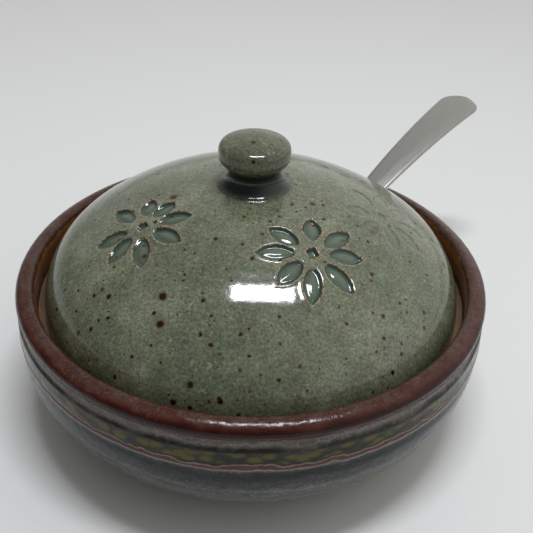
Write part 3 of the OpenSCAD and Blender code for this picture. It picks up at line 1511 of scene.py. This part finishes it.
@dataclass
class Bowl:
    """The thrown bowl, with its rolled lip, bare gallery, raised bead and foot ring.

    Args:
        wall_r: Outer radius of the wall.
        wall_t: Thickness of the wall and the floor.
        rim_z: Height of the middle of the rolled lip.
        roll_r: Radius of the lip's section.
        lip_r: Radius at which the lip's middle runs.
        lip_radii: Roundings of the lip's inner edge, top and outer edge.
        lip_turns: Directions at which those roundings start and end, in degrees.
        groove_r: Radius of the groove under the lip.
        groove_d: Depth of the groove.
        groove_z: Height of the groove.
        belly_r: Radius of the belly's curve.
        bead_r: Radius of the bead's section.
        bead_z: Height of the bead.
        bead_out: How far the bead stands out.
        ledge_r: Inner radius of the ledge.
        ledge_z: Height of the ledge.
        ledge_t: Thickness of the ledge's edge.
        ledge_bevel: Width and height of the bevel under the ledge's edge.
        foot_r: Outer radius of the foot ring.
        foot_w: Width of the foot ring.
        foot_h: Height of the foot ring.
        edge_r: Rounding of the foot ring.
    """

    wall_r: float = 75.05
    wall_t: float = 6.0
    rim_z: float = 45.0
    roll_r: float = 2.95
    lip_r: float = 72.0
    lip_radii: tuple[float, float, float] = (1.8, 6.0, 2.4)
    lip_turns: tuple[float, float, float, float] = (180.0, 85.0, 55.0, -40.0)
    groove_r: float = 2.5
    groove_d: float = 1.0
    groove_z: float = 41.6
    belly_r: float = 26.0
    bead_r: float = 1.2
    bead_z: float = 33.8
    bead_out: float = 0.35
    ledge_r: float = 61.0
    ledge_z: float = 38.0
    ledge_t: float = 3.5
    ledge_bevel: tuple[float, float] = (0.4, 0.5)
    foot_r: float = 46.0
    foot_w: float = 6.0
    foot_h: float = 4.2
    edge_r: float = 1.0
    glaze: IronGlaze = field(default_factory=IronGlaze)

    def _lip(self, part: int) -> tuple[Point, float, float, float]:
        """Works out one of the lip's three arcs, each tangent to the one before.

        Args:
            part: 0 for the inner edge, 1 for the gently sloping top and 2 for the outer edge.

        Returns:
            The arc's centre, radius, first and last direction.
        """
        turns = self.lip_turns
        gallery, top = self.lip_r - self.roll_r, self.rim_z + self.roll_r
        centre = (gallery + self.lip_radii[0], top - self.lip_radii[0])
        for turn, before, after in zip(turns[1 : part + 1], self.lip_radii, self.lip_radii[1:]):
            slip = before - after
            angle = math.radians(turn)
            centre = (centre[0] + slip * math.cos(angle), centre[1] + slip * math.sin(angle))
        return centre, self.lip_radii[part], turns[part], turns[part + 1]

    def section(self) -> np.ndarray:
        """Draws the section from the middle of the floor, over the lip, to the foot's middle.

        Returns:
            One row of r and z for each point.
        """
        centre = self.wall_r - self.belly_r
        top = self.foot_h + self.belly_r
        hollow = self.belly_r - self.wall_t
        gallery = self.lip_r - self.roll_r
        groove = self.wall_r - self.groove_d + self.groove_r
        out = math.degrees(math.acos((self.groove_r - self.groove_d) / self.groove_r))
        bead = self.wall_r + self.bead_out - self.bead_r
        swell = math.degrees(math.acos((self.wall_r - bead) / self.bead_r))
        foot_in = self.foot_r - self.foot_w
        bevel_w, bevel_h = self.ledge_bevel
        outline = (
            Section((0.0, self.foot_h + self.wall_t))
            .line(centre, self.foot_h + self.wall_t)
            .arc((centre, top), hollow, -90, -8)
            .line(self.ledge_r + bevel_w, self.ledge_z - self.ledge_t)
            .line(self.ledge_r, self.ledge_z - self.ledge_t + bevel_h)
            .line(self.ledge_r, self.ledge_z)
            .line(gallery, self.ledge_z)
            .arc(*self._lip(0))
            .arc(*self._lip(1))
            .arc(*self._lip(2))
            .arc((groove, self.groove_z), self.groove_r, 180, 180 + out)
            .line(self.wall_r, self.bead_z + self.bead_r)
            .arc((bead, self.bead_z), self.bead_r, swell, -swell)
            .line(self.wall_r, self.bead_z - self.bead_r)
            .arc((centre, top), self.belly_r, 0, -88)
            .line(self.foot_r, self.foot_h)
            .arc((self.foot_r - self.edge_r, self.edge_r), self.edge_r, 0, -90)
            .arc((foot_in + self.edge_r, self.edge_r), self.edge_r, -90, -180)
            .line(foot_in, self.foot_h)
            .line(0.0, self.foot_h)
        )

        def spacing(r: float, z: float) -> float:
            """Chooses the spacing: fine on the lip and the wall, coarse inside and below.

            Args:
                r: Distance from the axis.
                z: Height.

            Returns:
                The spacing in mm.
            """
            if r > gallery - 1 and z > self.ledge_z - 2:
                return 0.3
            if r > self.wall_r - 3:
                return 0.35
            return 0.55 if z < self.foot_h and r > foot_in - 1 else 1.6

        return outline.even(spacing, 2)

    def build(self, turning: bpy.types.NodeTree) -> bpy.types.Object:
        """Turns and glazes the bowl.

        Args:
            turning: The turning tree.

        Returns:
            The finished piece.
        """
        path = self.section()
        length = path_lengths(path)
        middle = length[np.argmax(path[:, 1])] + self.lip_radii[0] / 2
        piece = mesh_object(
            "bowl_glazed",
            np.stack([path[:, 0], path[:, 0] * 0, path[:, 1]], -1),
            [],
            {"along": length - middle},
        )
        values = {
            "Segments": 288,
            "Wobble": 0.5 * MM,
            "Ridge Depth": 0.04 * MM,
            "Ridge Pitch": 5.5 * MM,
            "Seed": 3.0,
            "Material": self.glaze.build(),
        }
        return outward(apply_tree(piece, turning, values))


@dataclass(frozen=True)
class Flower:
    """One stamped flower.

    Args:
        azimuth: Its direction, clockwise from +Y.
        shift: Its distance outwards from the ring of flowers.
        petals: Direction and share of the petal's length of each petal.
        press: How deep the stamps stand open, from 0, filled with glaze, to 1.
    """

    azimuth: float
    shift: float
    petals: tuple[tuple[float, float], ...]
    press: float = 1.0


@dataclass
class Lid:
    """The domed lid: a crown's arc run into a shoulder's arc, stamped, with a notch at the edge.

    Args:
        radius: Radius at the lid's edge.
        height: Height of the dome.
        shoulder_r: Radius of the shoulder's arc.
        thick: Thickness of the wall.
        seat_z: Height of the ledge it lies on.
        edge_r: Rounding of the lower edge.
        columns: Meridians of the mesh.
        notch_az: Direction of the notch, clockwise from +Y.
        notch_w: Width of the notch.
        notch_h: Height of the notch.
        level_at: Walked length from the seat at which the rows no longer follow the notch.
        flower_r: Distance of the flowers from the axis.
        flowers: The stamped flowers.
        ridge_depth: Depth of the throwing ridges.
        ridge_pitch: Pitch of the throwing ridges.
        petal_start: Distance from a flower's middle to its petals.
        petal_l: Length of a petal.
        petal_w: Width of a petal.
        pip_side: Side of the square in the middle.
        stamp_depth: Depth of a stamp.
        vein_h: Height of a petal's raised middle.
        pool_and_shade_r: Radius round the knob that the pool of glaze, darkened with painted
            shade under the knob's head, reaches.
        pool_and_shade_fade: Distance over which the pool and its painted shade thin out.
        dark_edge_h: Height above the seat below which the glaze is coloured darker towards the
            lower edge.
        dark_edge_share: How far towards the pool colour it gets at the edge, where a pool is 1.
    """

    radius: float = 66.75
    height: float = 39.1
    shoulder_r: float = 24.8
    thick: float = 5.0
    seat_z: float = 38.0
    edge_r: float = 1.0
    columns: int = 496
    notch_az: float = 41.5
    notch_w: float = 20.0
    notch_h: float = 13.5
    level_at: float = 22.0
    flower_r: float = 33.2
    flowers: tuple[Flower, ...] = (
        Flower(
            150, 0.4,
            ((-60, 0.95), (-23, 1.1), (21, 1), (61, 1.15), (108, 1.1), (155, 1), (192, 1),
             (241, 0.8)),
        ),
        Flower(
            244.5, 2.8,
            ((15, 1.05), (74, 1), (112, 1), (156, 1.1), (205, 1.05), (246, 1), (285, 0.75),
             (327, 0.75)),
        ),
        Flower(
            96, 6.5,
            ((-23, 1.15), (23, 1), (62, 1.1), (98, 1.1), (140, 1), (180, 1), (225, 0.9),
             (290, 0.8)),
            0.3,
        ),
    )
    ridge_depth: float = 0.012
    ridge_pitch: float = 5.2
    petal_start: float = 4.3
    petal_l: float = 11.0
    petal_w: float = 5.5
    pip_side: float = 3.2
    stamp_depth: float = 0.8
    vein_h: float = 0.3
    pool_and_shade_r: float = 12.8
    pool_and_shade_fade: float = 4.0
    dark_edge_h: float = 6.0
    dark_edge_share: float = 0.12
    glaze: CeladonGlaze = field(default_factory=CeladonGlaze)

    @property
    def crown_r(self) -> float:
        """Radius of the crown's arc."""
        run = self.radius - self.shoulder_r
        return (run**2 + self.height**2 - self.shoulder_r**2) / (
            2 * (self.height - self.shoulder_r)
        )

    @property
    def crown_z(self) -> float:
        """Height of the crown arc's centre."""
        return self.seat_z + self.height - self.crown_r

    def skin(self, inset: float, stations: np.ndarray) -> np.ndarray:
        """Walks up one skin of the shell.

        Args:
            inset: Distance in from the outer skin.
            stations: Walked lengths from the seat, in mm, measured on this skin.

        Returns:
            One row of r and z for each station.
        """
        run = self.radius - self.shoulder_r
        drop = self.seat_z - self.crown_z
        turn = math.atan2(drop, run)
        shoulder, crown = self.shoulder_r - inset, self.crown_r - inset
        first = shoulder * turn
        angle = np.where(stations < first, stations / shoulder, turn + (stations - first) / crown)
        on_shoulder = stations < first
        r = np.where(on_shoulder, run + shoulder * np.cos(angle), crown * np.cos(angle))
        z = np.where(
            on_shoulder,
            self.seat_z + shoulder * np.sin(angle),
            self.crown_z + crown * np.sin(angle),
        )
        return np.stack([np.maximum(r, 0), z], -1)

    def walk(self, inset: float) -> float:
        """Length of one skin from the seat to the axis."""
        run = self.radius - self.shoulder_r
        turn = math.atan2(self.seat_z - self.crown_z, run)
        return (self.shoulder_r - inset) * turn + (self.crown_r - inset) * (math.pi / 2 - turn)

    def _base(self, angles: np.ndarray, grow: float) -> np.ndarray:
        """Works out the lower edge, which rises over the notch.

        Args:
            angles: Directions from +X, in radians.
            grow: Distance that the edge is moved into the clay.

        Returns:
            Height of the lower edge above the seat in each direction.
        """
        away = np.angle(np.exp(1j * (angles - math.radians(90 - self.notch_az))))
        across = np.abs(np.sin(away)) * self.radius / (self.notch_w / 2 + grow)
        inside = (across < 1) & (np.cos(away) > 0)
        arch = (self.notch_h + grow) * (1 - np.minimum(across, 1) ** 5) ** 0.2
        return np.where(inside, np.maximum(arch, grow), grow)

    def mesh(self) -> bpy.types.Object:
        """Builds the plain shell, before it is stamped.

        Returns:
            The shell, with its pool attribute: pooled glaze with painted shade round the knob,
                and a
            darker lower edge.
        """
        half = math.asin(self.notch_w / 2 / self.radius)
        middle = math.radians(90 - self.notch_az)
        extra = [
            middle + side * (half + math.radians(step))
            for side in (-1, 1)
            for step in np.arange(-1.1, 1.11, 0.2)
        ]
        angles = np.unique(
            np.concatenate([np.arange(self.columns) * 2 * math.pi / self.columns, extra])
        )
        angles = angles[np.append(np.diff(angles) > 1e-3, True)]
        count = len(angles)
        full = {side: self.walk(0 if side is Side.OUTER else self.thick) for side in Side}
        rings: list[np.ndarray] = []
        turned = [(self.edge_r * (1 - math.cos(a)), self.edge_r * (1 - math.sin(a)))
                  for a in np.radians((0, 22.5, 45, 67.5, 90))]
        stations = {
            Side.OUTER: self._stations(full[Side.OUTER]),
            Side.INNER: np.append(np.arange(self.edge_r, full[Side.INNER] - 3, 3.0), 0)[:-1],
        }
        for side in Side:
            inset = 0.0 if side is Side.OUTER else self.thick
            rows = []
            for sink, grow in reversed(turned):
                base = self._base(angles, grow)
                point = self.skin(inset, base)
                lean = base / self.shoulder_r
                tilt = np.stack([np.cos(lean), np.sin(lean)], -1)
                rows.append(point - tilt * sink * side.value)
            level = self.level_at
            top = self._base(angles, self.edge_r)
            for at in stations[side]:
                if at <= self.edge_r:
                    continue
                share = min((at - self.edge_r) / (level - self.edge_r), 1.0)
                walked = top + (level - top) * share if share < 1 else np.full(count, at)
                turns = walked / self.ridge_pitch + angles / (2 * math.pi)
                ridge = self.ridge_depth * np.sin(2 * math.pi * turns) * min(at / 8, 1)
                rows.append(self.skin(inset + ridge * (side is Side.OUTER), walked))
            if side is Side.INNER:
                rows.reverse()
            rings.append(np.array(rows))
        outer, inner = rings
        pole_z = self.crown_z + self.crown_r
        rows = np.concatenate([inner, outer])
        points = np.stack(
            [rows[..., 0] * np.cos(angles), rows[..., 0] * np.sin(angles), rows[..., 1]], -1
        ).reshape(-1, 3)
        points = np.concatenate([points, [[0, 0, pole_z - self.thick], [0, 0, pole_z]]])
        r = np.hypot(points[:, 0], points[:, 1])
        # Pool round the knob: pooled glaze, darkened with painted shade under the knob's head.
        pool = np.clip((self.pool_and_shade_r - r) / self.pool_and_shade_fade, 0, 1)
        # Darker towards the lower edge, mixed a little towards the pool colour.
        darker_to_edge = np.clip((self.seat_z + self.dark_edge_h - points[:, 2]) / self.dark_edge_h, 0, 1)
        deep = np.maximum(pool, darker_to_edge * self.dark_edge_share)
        faces = tube_faces(len(rows), count)
        return outward(mesh_object("lid_glazed", points, faces, {"pool": deep}))

    def _stations(self, length: float) -> np.ndarray:
        """Spaces the outer skin's rows: close where the flowers are, wider elsewhere.

        Args:
            length: Length of the outer skin from the seat to the axis.

        Returns:
            Walked lengths from the seat, one for each row.
        """
        stations = [self.edge_r]
        inner, outer = self.flower_r - 16.5, self.flower_r + 19
        close, wide = 0.36, 1.0
        while stations[-1] < length - wide / 2:
            r = self.skin(0, np.array([stations[-1]]))[0, 0]
            stations.append(stations[-1] + (close if inner < r < outer else wide))
        return np.array(stations)

    def stamps(self) -> bpy.types.Object:
        """Lays out one point for each stamp, with its normal, direction, sizes and press.

        Returns:
            The object of loose points.
        """
        rows: dict[str, list] = {key: [] for key in ("at", "up", "run", "long", "pip", "press")}
        for flower in self.flowers:
            tilt = math.asin((self.flower_r + flower.shift) / self.crown_r)
            place = Matrix.Rotation(-math.radians(flower.azimuth), 3, "Z") @ Matrix.Rotation(
                -tilt, 3, "X"
            )
            layout = [
                (self.petal_start + self.petal_l * share / 2, turn, self.petal_l * share, 0.0)
                for turn, share in flower.petals
            ]
            for reach, turn, long, pip in [*layout, (0.0, 0.0, self.pip_side, 1.0)]:
                lean = Matrix.Rotation(math.radians(turn), 3, "Z") @ Matrix.Rotation(
                    math.asin(reach / self.crown_r), 3, "Y"
                )
                up = place @ lean @ Vector((0, 0, 1))
                rows["at"].append(up * self.crown_r + Vector((0, 0, self.crown_z)))
                rows["up"].append(up)
                rows["run"].append(place @ lean @ Vector((1, 0, 0)))
                rows["long"].append(long)
                rows["pip"].append(pip)
                rows["press"].append(flower.press)
        table = {key: np.array([tuple(v) if isinstance(v, Vector) else v for v in column])
                 for key, column in rows.items()}
        return mesh_object("stamps", table.pop("at"), [], table)

    def build(self, stamping: bpy.types.NodeTree) -> bpy.types.Object:
        """Builds, stamps and glazes the lid.

        Args:
            stamping: The stamping tree.

        Returns:
            The finished piece.
        """
        piece, stamps = self.mesh(), self.stamps()
        values = {
            "Stamps": stamps,
            "Petal Width": self.petal_w,
            "Depth": self.stamp_depth,
            "Vein Height": self.vein_h,
            "Material": self.glaze.build(),
        }
        apply_tree(piece, stamping, values)
        bpy.data.objects.remove(stamps)
        return outward(piece)


@dataclass
class Knob:
    """The turned knob: a flattened bun on a short neck that runs into the dome.

    Args:
        radius: Widest radius of the head.
        neck_r: Radius of the neck.
        flare_r: Radius of the glaze's fillet between neck and dome.
        dome_r: Radius of the dome.
        dome_z: Height of the dome's centre.
        neck_z: Height at which the head starts to slope out.
        head_z: Height of the head's lower edge.
        crown_z: Height at which the head's crown starts.
        top_z: Height of the knob's top.
        edge_r: Rounding of the crown's edge.
        sink: How deep the foot lies in the dome.
        side_drop: How far below the head's edge its upright side starts.
        spacing: Distance between points of the section.
        passes: How often the section is softened.
        pool_and_shade_r: Radius that the pool of glaze round the foot, with painted shade under
            the head, reaches.
        pool_and_shade_fade: Distance over which the pool and its painted shade thin out.
    """

    radius: float = 10.95
    neck_r: float = 8.0
    flare_r: float = 4.6
    dome_r: float = 93.48
    dome_z: float = -16.38
    neck_z: float = 82.0
    head_z: float = 85.7
    crown_z: float = 88.2
    top_z: float = 92.5
    edge_r: float = 2.5
    sink: float = 0.4
    side_drop: float = 0.4
    spacing: float = 0.28
    passes: int = 14
    pool_and_shade_r: float = 12.8
    pool_and_shade_fade: float = 3.5
    glaze: CeladonGlaze = field(default_factory=CeladonGlaze)

    def section(self) -> np.ndarray:
        """Draws the section from under the knob's middle, up its side, to its top.

        Returns:
            One row of r and z for each point.
        """
        centre_r = self.neck_r + self.flare_r
        rise = math.sqrt((self.dome_r + self.flare_r) ** 2 - centre_r**2)
        centre_z = self.dome_z + rise
        touch = math.degrees(math.atan2(-rise, -centre_r))
        sunk = self.dome_r - self.sink
        touch_r = centre_r * self.dome_r / (self.dome_r + self.flare_r)
        start = math.degrees(math.acos(touch_r / sunk))
        run, tall = self.radius - self.edge_r, self.top_z - self.crown_z
        crown = (run**2 + tall**2 - self.edge_r**2) / (2 * (tall - self.edge_r))
        turn = math.degrees(math.atan2(crown - tall, run))
        outline = Section((0.0, self.dome_z + sunk)).arc((0.0, self.dome_z), sunk, 90, start)
        outline.arc((centre_r, centre_z), self.flare_r, touch, -180)
        outline.line(self.neck_r, self.neck_z)
        outline.line(self.radius, self.head_z - self.side_drop)
        outline.arc((run, self.crown_z), self.edge_r, 0, turn)
        outline.arc((0.0, self.top_z - crown), crown, turn, 90)
        return outline.even(lambda r, z: self.spacing, self.passes)

    def build(self, turning: bpy.types.NodeTree) -> bpy.types.Object:
        """Turns and glazes the knob.

        Args:
            turning: The turning tree.

        Returns:
            The finished piece.
        """
        path = self.section()
        # Below the head the neck takes the pool colour: glaze pooled at the foot, darkened with
        # painted shade under the head's overhang.
        under = np.clip((self.head_z - path[:, 1]) / (self.head_z - self.neck_z), 0, 1)
        foot = under * np.clip((self.pool_and_shade_r - path[:, 0]) / self.pool_and_shade_fade, 0, 1)
        piece = mesh_object(
            "knob_glazed",
            np.stack([path[:, 0], path[:, 0] * 0, path[:, 1]], -1),
            [],
            {"along": foot},
        )
        values = {
            "Segments": 144,
            "Wobble": 0.25 * MM,
            "Ridge Depth": 0.03 * MM,
            "Ridge Pitch": 4.0 * MM,
            "Seed": 11.0,
            "Material": self.glaze.build(),
        }
        return outward(apply_tree(piece, turning, values))


@dataclass
class Spreader:
    """The steel spreader: a straight blade, a neck and a handle that curves gently down.

    Lengths along it are measured in its own frame at the middle of the lip, +X outwards.

    Args:
        azimuth: Its direction, clockwise from +Y.
        lip_r: Radius of the lip's middle.
        lip_z: Height of the lip's middle.
        slope: Slope of the handle at the lip, in degrees.
        bend_r: Radius of the handle's curve.
        bend_drop: Depth of the curve's centre below the frame.
        reach_in: Length of the curve inwards.
        reach_out: Length of the curve outwards.
        handle_t: Thickness of the handle.
        blade_t: Thickness of the blade.
        blade_l: Length of the blade.
        blade_w: Width of the blade.
        shank_w: Width of the neck.
        grip_w: Width at the lip.
        end_w: Width near the end.
        end_round: Length of the end's rounding.
        tip_round: Length of the tip's rounding.
        blade_shoulder: Length over which the blade narrows.
        floor_z: Height of the bowl's floor inside.
        tip_gap: Gap between the tip and the floor.
        crease: Distance of the crease from the right edge.
        crease_d: How far the right edge lies below the crease.
        soft_w: Width over which the top rounds off to the left edge.
        soft_d: How far the left edge lies below the top.
        ring_n: Points across one face of the steel.
        brush: Brush lines' pattern steps for each mm along and across the steel.
    """

    azimuth: float = 41.5
    lip_r: float = 72.0
    lip_z: float = 45.0
    slope: float = 21.0
    bend_r: float = 265.0
    bend_drop: float = 260.7
    reach_in: float = 20.0
    reach_out: float = 64.0
    handle_t: float = 2.0
    blade_t: float = 1.4
    blade_l: float = 58.0
    blade_w: float = 16.0
    shank_w: float = 8.4
    grip_w: float = 11.3
    end_w: float = 16.4
    end_round: float = 7.0
    tip_round: float = 11.0
    blade_shoulder: float = 16.0
    floor_z: float = 10.2
    tip_gap: float = 0.3
    crease: float = 4.6
    crease_d: float = 0.62
    soft_w: float = 2.2
    soft_d: float = 0.3
    ring_n: int = 33
    brush: tuple[float, float] = (0.12, 9.0)
    finish: SatinSteel = field(default_factory=SatinSteel)

    def __post_init__(self) -> None:
        """Works out where the curve starts and ends, and how long the straight part is."""
        self.turn_in = self.reach_in / self.bend_r
        self.turn_out = self.reach_out / self.bend_r
        tilt = math.radians(self.slope)
        self.bend_x = -self.bend_r * math.sin(self.turn_in)
        self.bend_z = self.bend_r * math.cos(self.turn_in) - self.bend_drop
        high = self.lip_z + self.bend_x * math.sin(tilt) + self.bend_z * math.cos(tilt)
        steep = tilt + self.turn_in
        low = self.floor_z + self.tip_gap + self.blade_t / 2 * math.cos(steep)
        self.straight_l = (high - low) / math.sin(steep)
        self.tip_x = self.bend_x - self.straight_l * math.cos(self.turn_in)
        self.end_x = self.bend_r * math.sin(self.turn_out)

    def half_width(self, x: float) -> float:
        """Follows the outline: round tip, blade, neck, widening handle and round end.

        Args:
            x: Distance along the spreader.

        Returns:
            The half width in mm.
        """
        shank_x = self.tip_x + self.blade_l + self.blade_shoulder
        cap_x = self.end_x - self.end_round
        if x < self.tip_x + self.tip_round:
            share = 1 - (x - self.tip_x) / self.tip_round
            return self.blade_w / 2 * math.sqrt(max(1 - share**2, 0))
        if x < self.tip_x + self.blade_l:
            return self.blade_w / 2
        if x < shank_x:
            share = (x - self.tip_x - self.blade_l) / self.blade_shoulder
            mean, swing = (self.blade_w + self.shank_w) / 4, (self.blade_w - self.shank_w) / 4
            return mean + swing * math.cos(math.pi * share)
        if x < cap_x:
            taper_x = max(
                shank_x + 1, cap_x * (self.shank_w - self.grip_w) / (self.end_w - self.grip_w)
            )
            share = min(max((x - taper_x) / (cap_x - taper_x), 0), 1)
            return (self.shank_w + (self.end_w - self.shank_w) * share) / 2
        share = (x - cap_x) / self.end_round
        return self.end_w / 2 * math.sqrt(max(1 - share**2, 0))

    def spine(self, x: float) -> tuple[float, float, float]:
        """Follows the middle of the steel.

        Args:
            x: Distance along the spreader.

        Returns:
            Height, slope angle in radians and thickness.
        """
        if x >= self.bend_x:
            angle = math.asin(x / self.bend_r)
            return self.bend_r * math.cos(angle) - self.bend_drop, -angle, self.handle_t
        gone = (self.bend_x - x) / math.cos(self.turn_in)
        z = self.bend_z - gone * math.sin(self.turn_in)
        share = min(gone / max(self.straight_l - self.blade_l, 1), 1)
        thick = self.handle_t + (self.blade_t - self.handle_t) * share
        return z, self.turn_in, thick

    def _ring(self, half: float, thick: float, handle: float) -> np.ndarray:
        """Section of the steel, as rows of offset across and offset up.

        Args:
            half: Half the width.
            thick: The thickness.
            handle: 1 on the handle, which has a crease and a crown, and 0 on the blade.

        Returns:
            The closed ring.
        """
        across = np.sin(np.linspace(-math.pi / 2, math.pi / 2, self.ring_n)) * half
        side = half - np.abs(across)
        round_r = min(thick / 2, half)
        edge = np.sqrt(np.clip(round_r**2 - np.clip(round_r - side, 0, None) ** 2, 0, None))
        full = thick / 2 * edge / max(round_r, 1e-6)
        from_right, from_left = half + across, half - across
        right = np.clip((self.crease - from_right) / self.crease, 0, 1) ** 1.15 * self.crease_d
        left = np.clip((self.soft_w - from_left) / self.soft_w, 0, 1) ** 2 * self.soft_d
        top = np.maximum(full - (right + left) * handle * min(half / 5, 1), -full * 0.6)
        return np.concatenate(
            [np.stack([across, top], -1), np.stack([across[-2:0:-1], -full[-2:0:-1]], -1)]
        )

    def build(self) -> bpy.types.Object:
        """Builds and brushes the spreader.

        Returns:
            The finished piece.
        """
        ends = (1 - np.cos(np.linspace(0, math.pi / 2, 14))) * self.tip_round
        cap = self.end_x - (1 - np.cos(np.linspace(0, math.pi / 2, 14))) * self.end_round
        middle = np.arange(self.tip_x + self.tip_round + 1, self.end_x - self.end_round, 1.1)
        stations = np.concatenate([self.tip_x + ends[1:], middle, cap[:0:-1]])
        rings, grain = [], []
        along, cross = self.brush
        for x in stations:
            z, lean, thick = self.spine(x)
            handle = float(np.clip((x - self.bend_x + 6) / 12, 0, 1))
            ring = self._ring(self.half_width(x), thick, handle)
            points = np.stack(
                [
                    x - ring[:, 1] * math.sin(lean),
                    ring[:, 0],
                    z + ring[:, 1] * math.cos(lean),
                ],
                -1,
            )
            rings.append(points)
            flat = np.full(len(ring), x * along)
            grain.append(np.stack([flat, ring[:, 0] * cross, ring[:, 1] * cross], -1))
        tips = []
        for x in (self.tip_x, self.end_x):
            z, _, _ = self.spine(x)
            tips.append((x, 0.0, z))
        points = np.concatenate([*rings, tips])
        brushed = np.concatenate([*grain, [[x * along, 0, 0] for x in (self.tip_x, self.end_x)]])
        place = (
            Matrix.Rotation(math.radians(90 - self.azimuth), 4, "Z")
            @ Matrix.Translation((self.lip_r, 0, self.lip_z))
            @ Matrix.Rotation(-math.radians(self.slope), 4, "Y")
        )
        turn = np.array(place)
        points = points @ turn[:3, :3].T + turn[:3, 3]
        faces = tube_faces(len(rings), len(rings[0]))
        piece = mesh_object("spreader_brushed", points, faces, {"grain": brushed})
        piece.data.materials.append(self.finish.build())
        return outward(piece)


# ---------------------------------------------------------------------------------------------
# Studio


@dataclass
class Studio:
    """The camera, the soft lights and the pale table. Lengths are metres here.

    Args:
        eye: The camera's place.
        ahead: Its viewing direction.
        up: Its upward direction.
        lens: Focal length in mm on a 36 mm sensor.
        floor: Colour of the table.
    """

    eye: tuple[float, float, float] = (0.0, -0.21529, 0.19419)
    ahead: tuple[float, float, float] = (0.017699, 0.823181, -0.567503)
    up: tuple[float, float, float] = (-0.021038, 0.567773, 0.822916)
    lens: float = 54.03
    floor: str = "dfdfdd"

    def camera(self) -> None:
        """Sets the camera."""
        back = -Vector(self.ahead).normalized()
        right = Vector(self.up).cross(back).normalized()
        turn = Matrix((right, back.cross(right), back)).transposed().to_4x4()
        data = bpy.data.cameras.new("camera")
        data.lens = self.lens
        data.sensor_width = 36.0
        data.clip_start = 0.01
        camera = bpy.data.objects.new("camera", data)
        camera.matrix_world = Matrix.Translation(self.eye) @ turn
        bpy.context.scene.collection.objects.link(camera)
        bpy.context.scene.camera = camera

    def lamp(
        self,
        name: str,
        place: tuple[float, float, float],
        size: tuple[float, float],
        power: float,
        colour: str,
    ) -> None:
        """Hangs one rectangular softbox, which faces straight down.

        Args:
            name: The lamp's name.
            place: Where it hangs.
            size: Its width and height.
            power: Its power in watts.
            colour: The colour of its light.
        """
        data = bpy.data.lights.new(name, "AREA")
        data.shape = "RECTANGLE"
        data.size, data.size_y = size
        data.energy = power
        data.color = srgb(colour)[:3]
        lamp = bpy.data.objects.new(name, data)
        lamp.location = place
        bpy.context.scene.collection.objects.link(lamp)

    def table(self) -> None:
        """Adds the matt paper table, which reaches past the view on every side."""
        work = bmesh.new()
        bmesh.ops.create_grid(work, x_segments=8, y_segments=8, size=4.0)
        mesh = bpy.data.meshes.new("table")
        work.to_mesh(mesh)
        work.free()
        floor = bpy.data.objects.new("table", mesh)
        bpy.context.scene.collection.objects.link(floor)
        material, tree, shader = new_material("matt_paper")
        where = add_node(tree, "ShaderNodeTexCoord").outputs["Object"]
        fibres = add_node(
            tree, "ShaderNodeTexNoise", {"Vector": where, "Scale": 900.0, "Detail": 2.0}
        )
        tone = add_node(
            tree,
            "ShaderNodeMapRange",
            {0: fibres.outputs[0], 1: 0.3, 2: 0.7, 3: 0.985, 4: 1.01},
        )
        colour = add_node(
            tree,
            "ShaderNodeHueSaturation",
            {"Color": srgb(self.floor), "Value": tone.outputs[0]},
        )
        tree.links.new(colour.outputs[0], shader.inputs["Base Color"])
        shader.inputs["Roughness"].default_value = 0.85
        shader.inputs["Specular IOR Level"].default_value = 0.25
        mesh.materials.append(material)

    def world(self) -> None:
        """Plain surroundings, paler behind and to the right than towards the camera."""
        world = bpy.data.worlds.new("room")
        bpy.context.scene.world = world
        world.use_nodes = True
        tree = world.node_tree
        tree.nodes.clear()
        towards = add_node(
            tree,
            "ShaderNodeVectorMath",
            {
                0: add_node(tree, "ShaderNodeTexCoord").outputs["Generated"],
                1: (0.85, 0.5, 0.12),
            },
            operation="DOT_PRODUCT",
        )
        strength = add_node(
            tree,
            "ShaderNodeMapRange",
            {0: towards.outputs["Value"], 1: -0.6, 2: 0.9, 3: 0.2, 4: 1.08},
            interpolation_type="SMOOTHSTEP",
        )
        plain = add_node(
            tree, "ShaderNodeBackground", {0: srgb("e4e4e0"), 1: strength.outputs[0]}
        )
        add_node(tree, "ShaderNodeOutputWorld", {0: plain.outputs[0]})

    def build(self) -> None:
        """Sets up the whole studio."""
        self.table()
        self.world()
        self.lamp("window", (0.065, -0.045, 0.9), (0.36, 0.09), 4.8, "f3f7ff")
        bpy.context.scene.view_settings.view_transform = "Standard"


def main() -> None:
    """Builds the studio and the four pieces, and swaps them in for their CAD nodes."""
    logging.basicConfig(level=logging.INFO, format="%(message)s")
    studio = Studio()
    studio.camera()
    studio.build()
    turning, stamping = turning_tree(), stamping_tree()
    lid = Lid(
        glaze=CeladonGlaze(
            pool_and_shade_attribute="pool",
            stamp_attribute="stamp_edge",
            blooms=(
                (-15.5, -61.5, 50.3, 1.15),
                (-20.1, -62.6, 45.0, 1.1),
                (-7.6, -64.4, 47.4, 1.0),
                (-30.7, -27.2, 67.6, 1.2),
                (-39.7, -36.8, 59.9, 1.0),
            ),
        )
    )
    knob = Knob(
        glaze=CeladonGlaze(
            name="knob_celadon",
            body=srgb("50523f"),
            pale=srgb("5e604e"),
            green=srgb("454b39"),
            pool_and_shade_attribute="along",
            specks=(
                Specks(cell=2.6, radius=0.6, share=0.35),
                Specks(cell=5.0, radius=1.1, share=0.4),
            ),
        )
    )
    made = (
        ("bowl", "bowl", "dark_glaze", Bowl().build(turning)),
        ("lid", "lid", "celadon_glaze", lid.build(stamping)),
        ("knob", "lid", "knob_glaze", knob.build(turning)),
        ("spreader", "spreader", "spreader_steel", Spreader().build()),
    )
    for node, body, slot, piece in made:
        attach(piece, body)
        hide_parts(node)
        LOG.info("%s: %d faces", piece.name, len(piece.data.polygons))


if __name__ == "__main__":
    main()
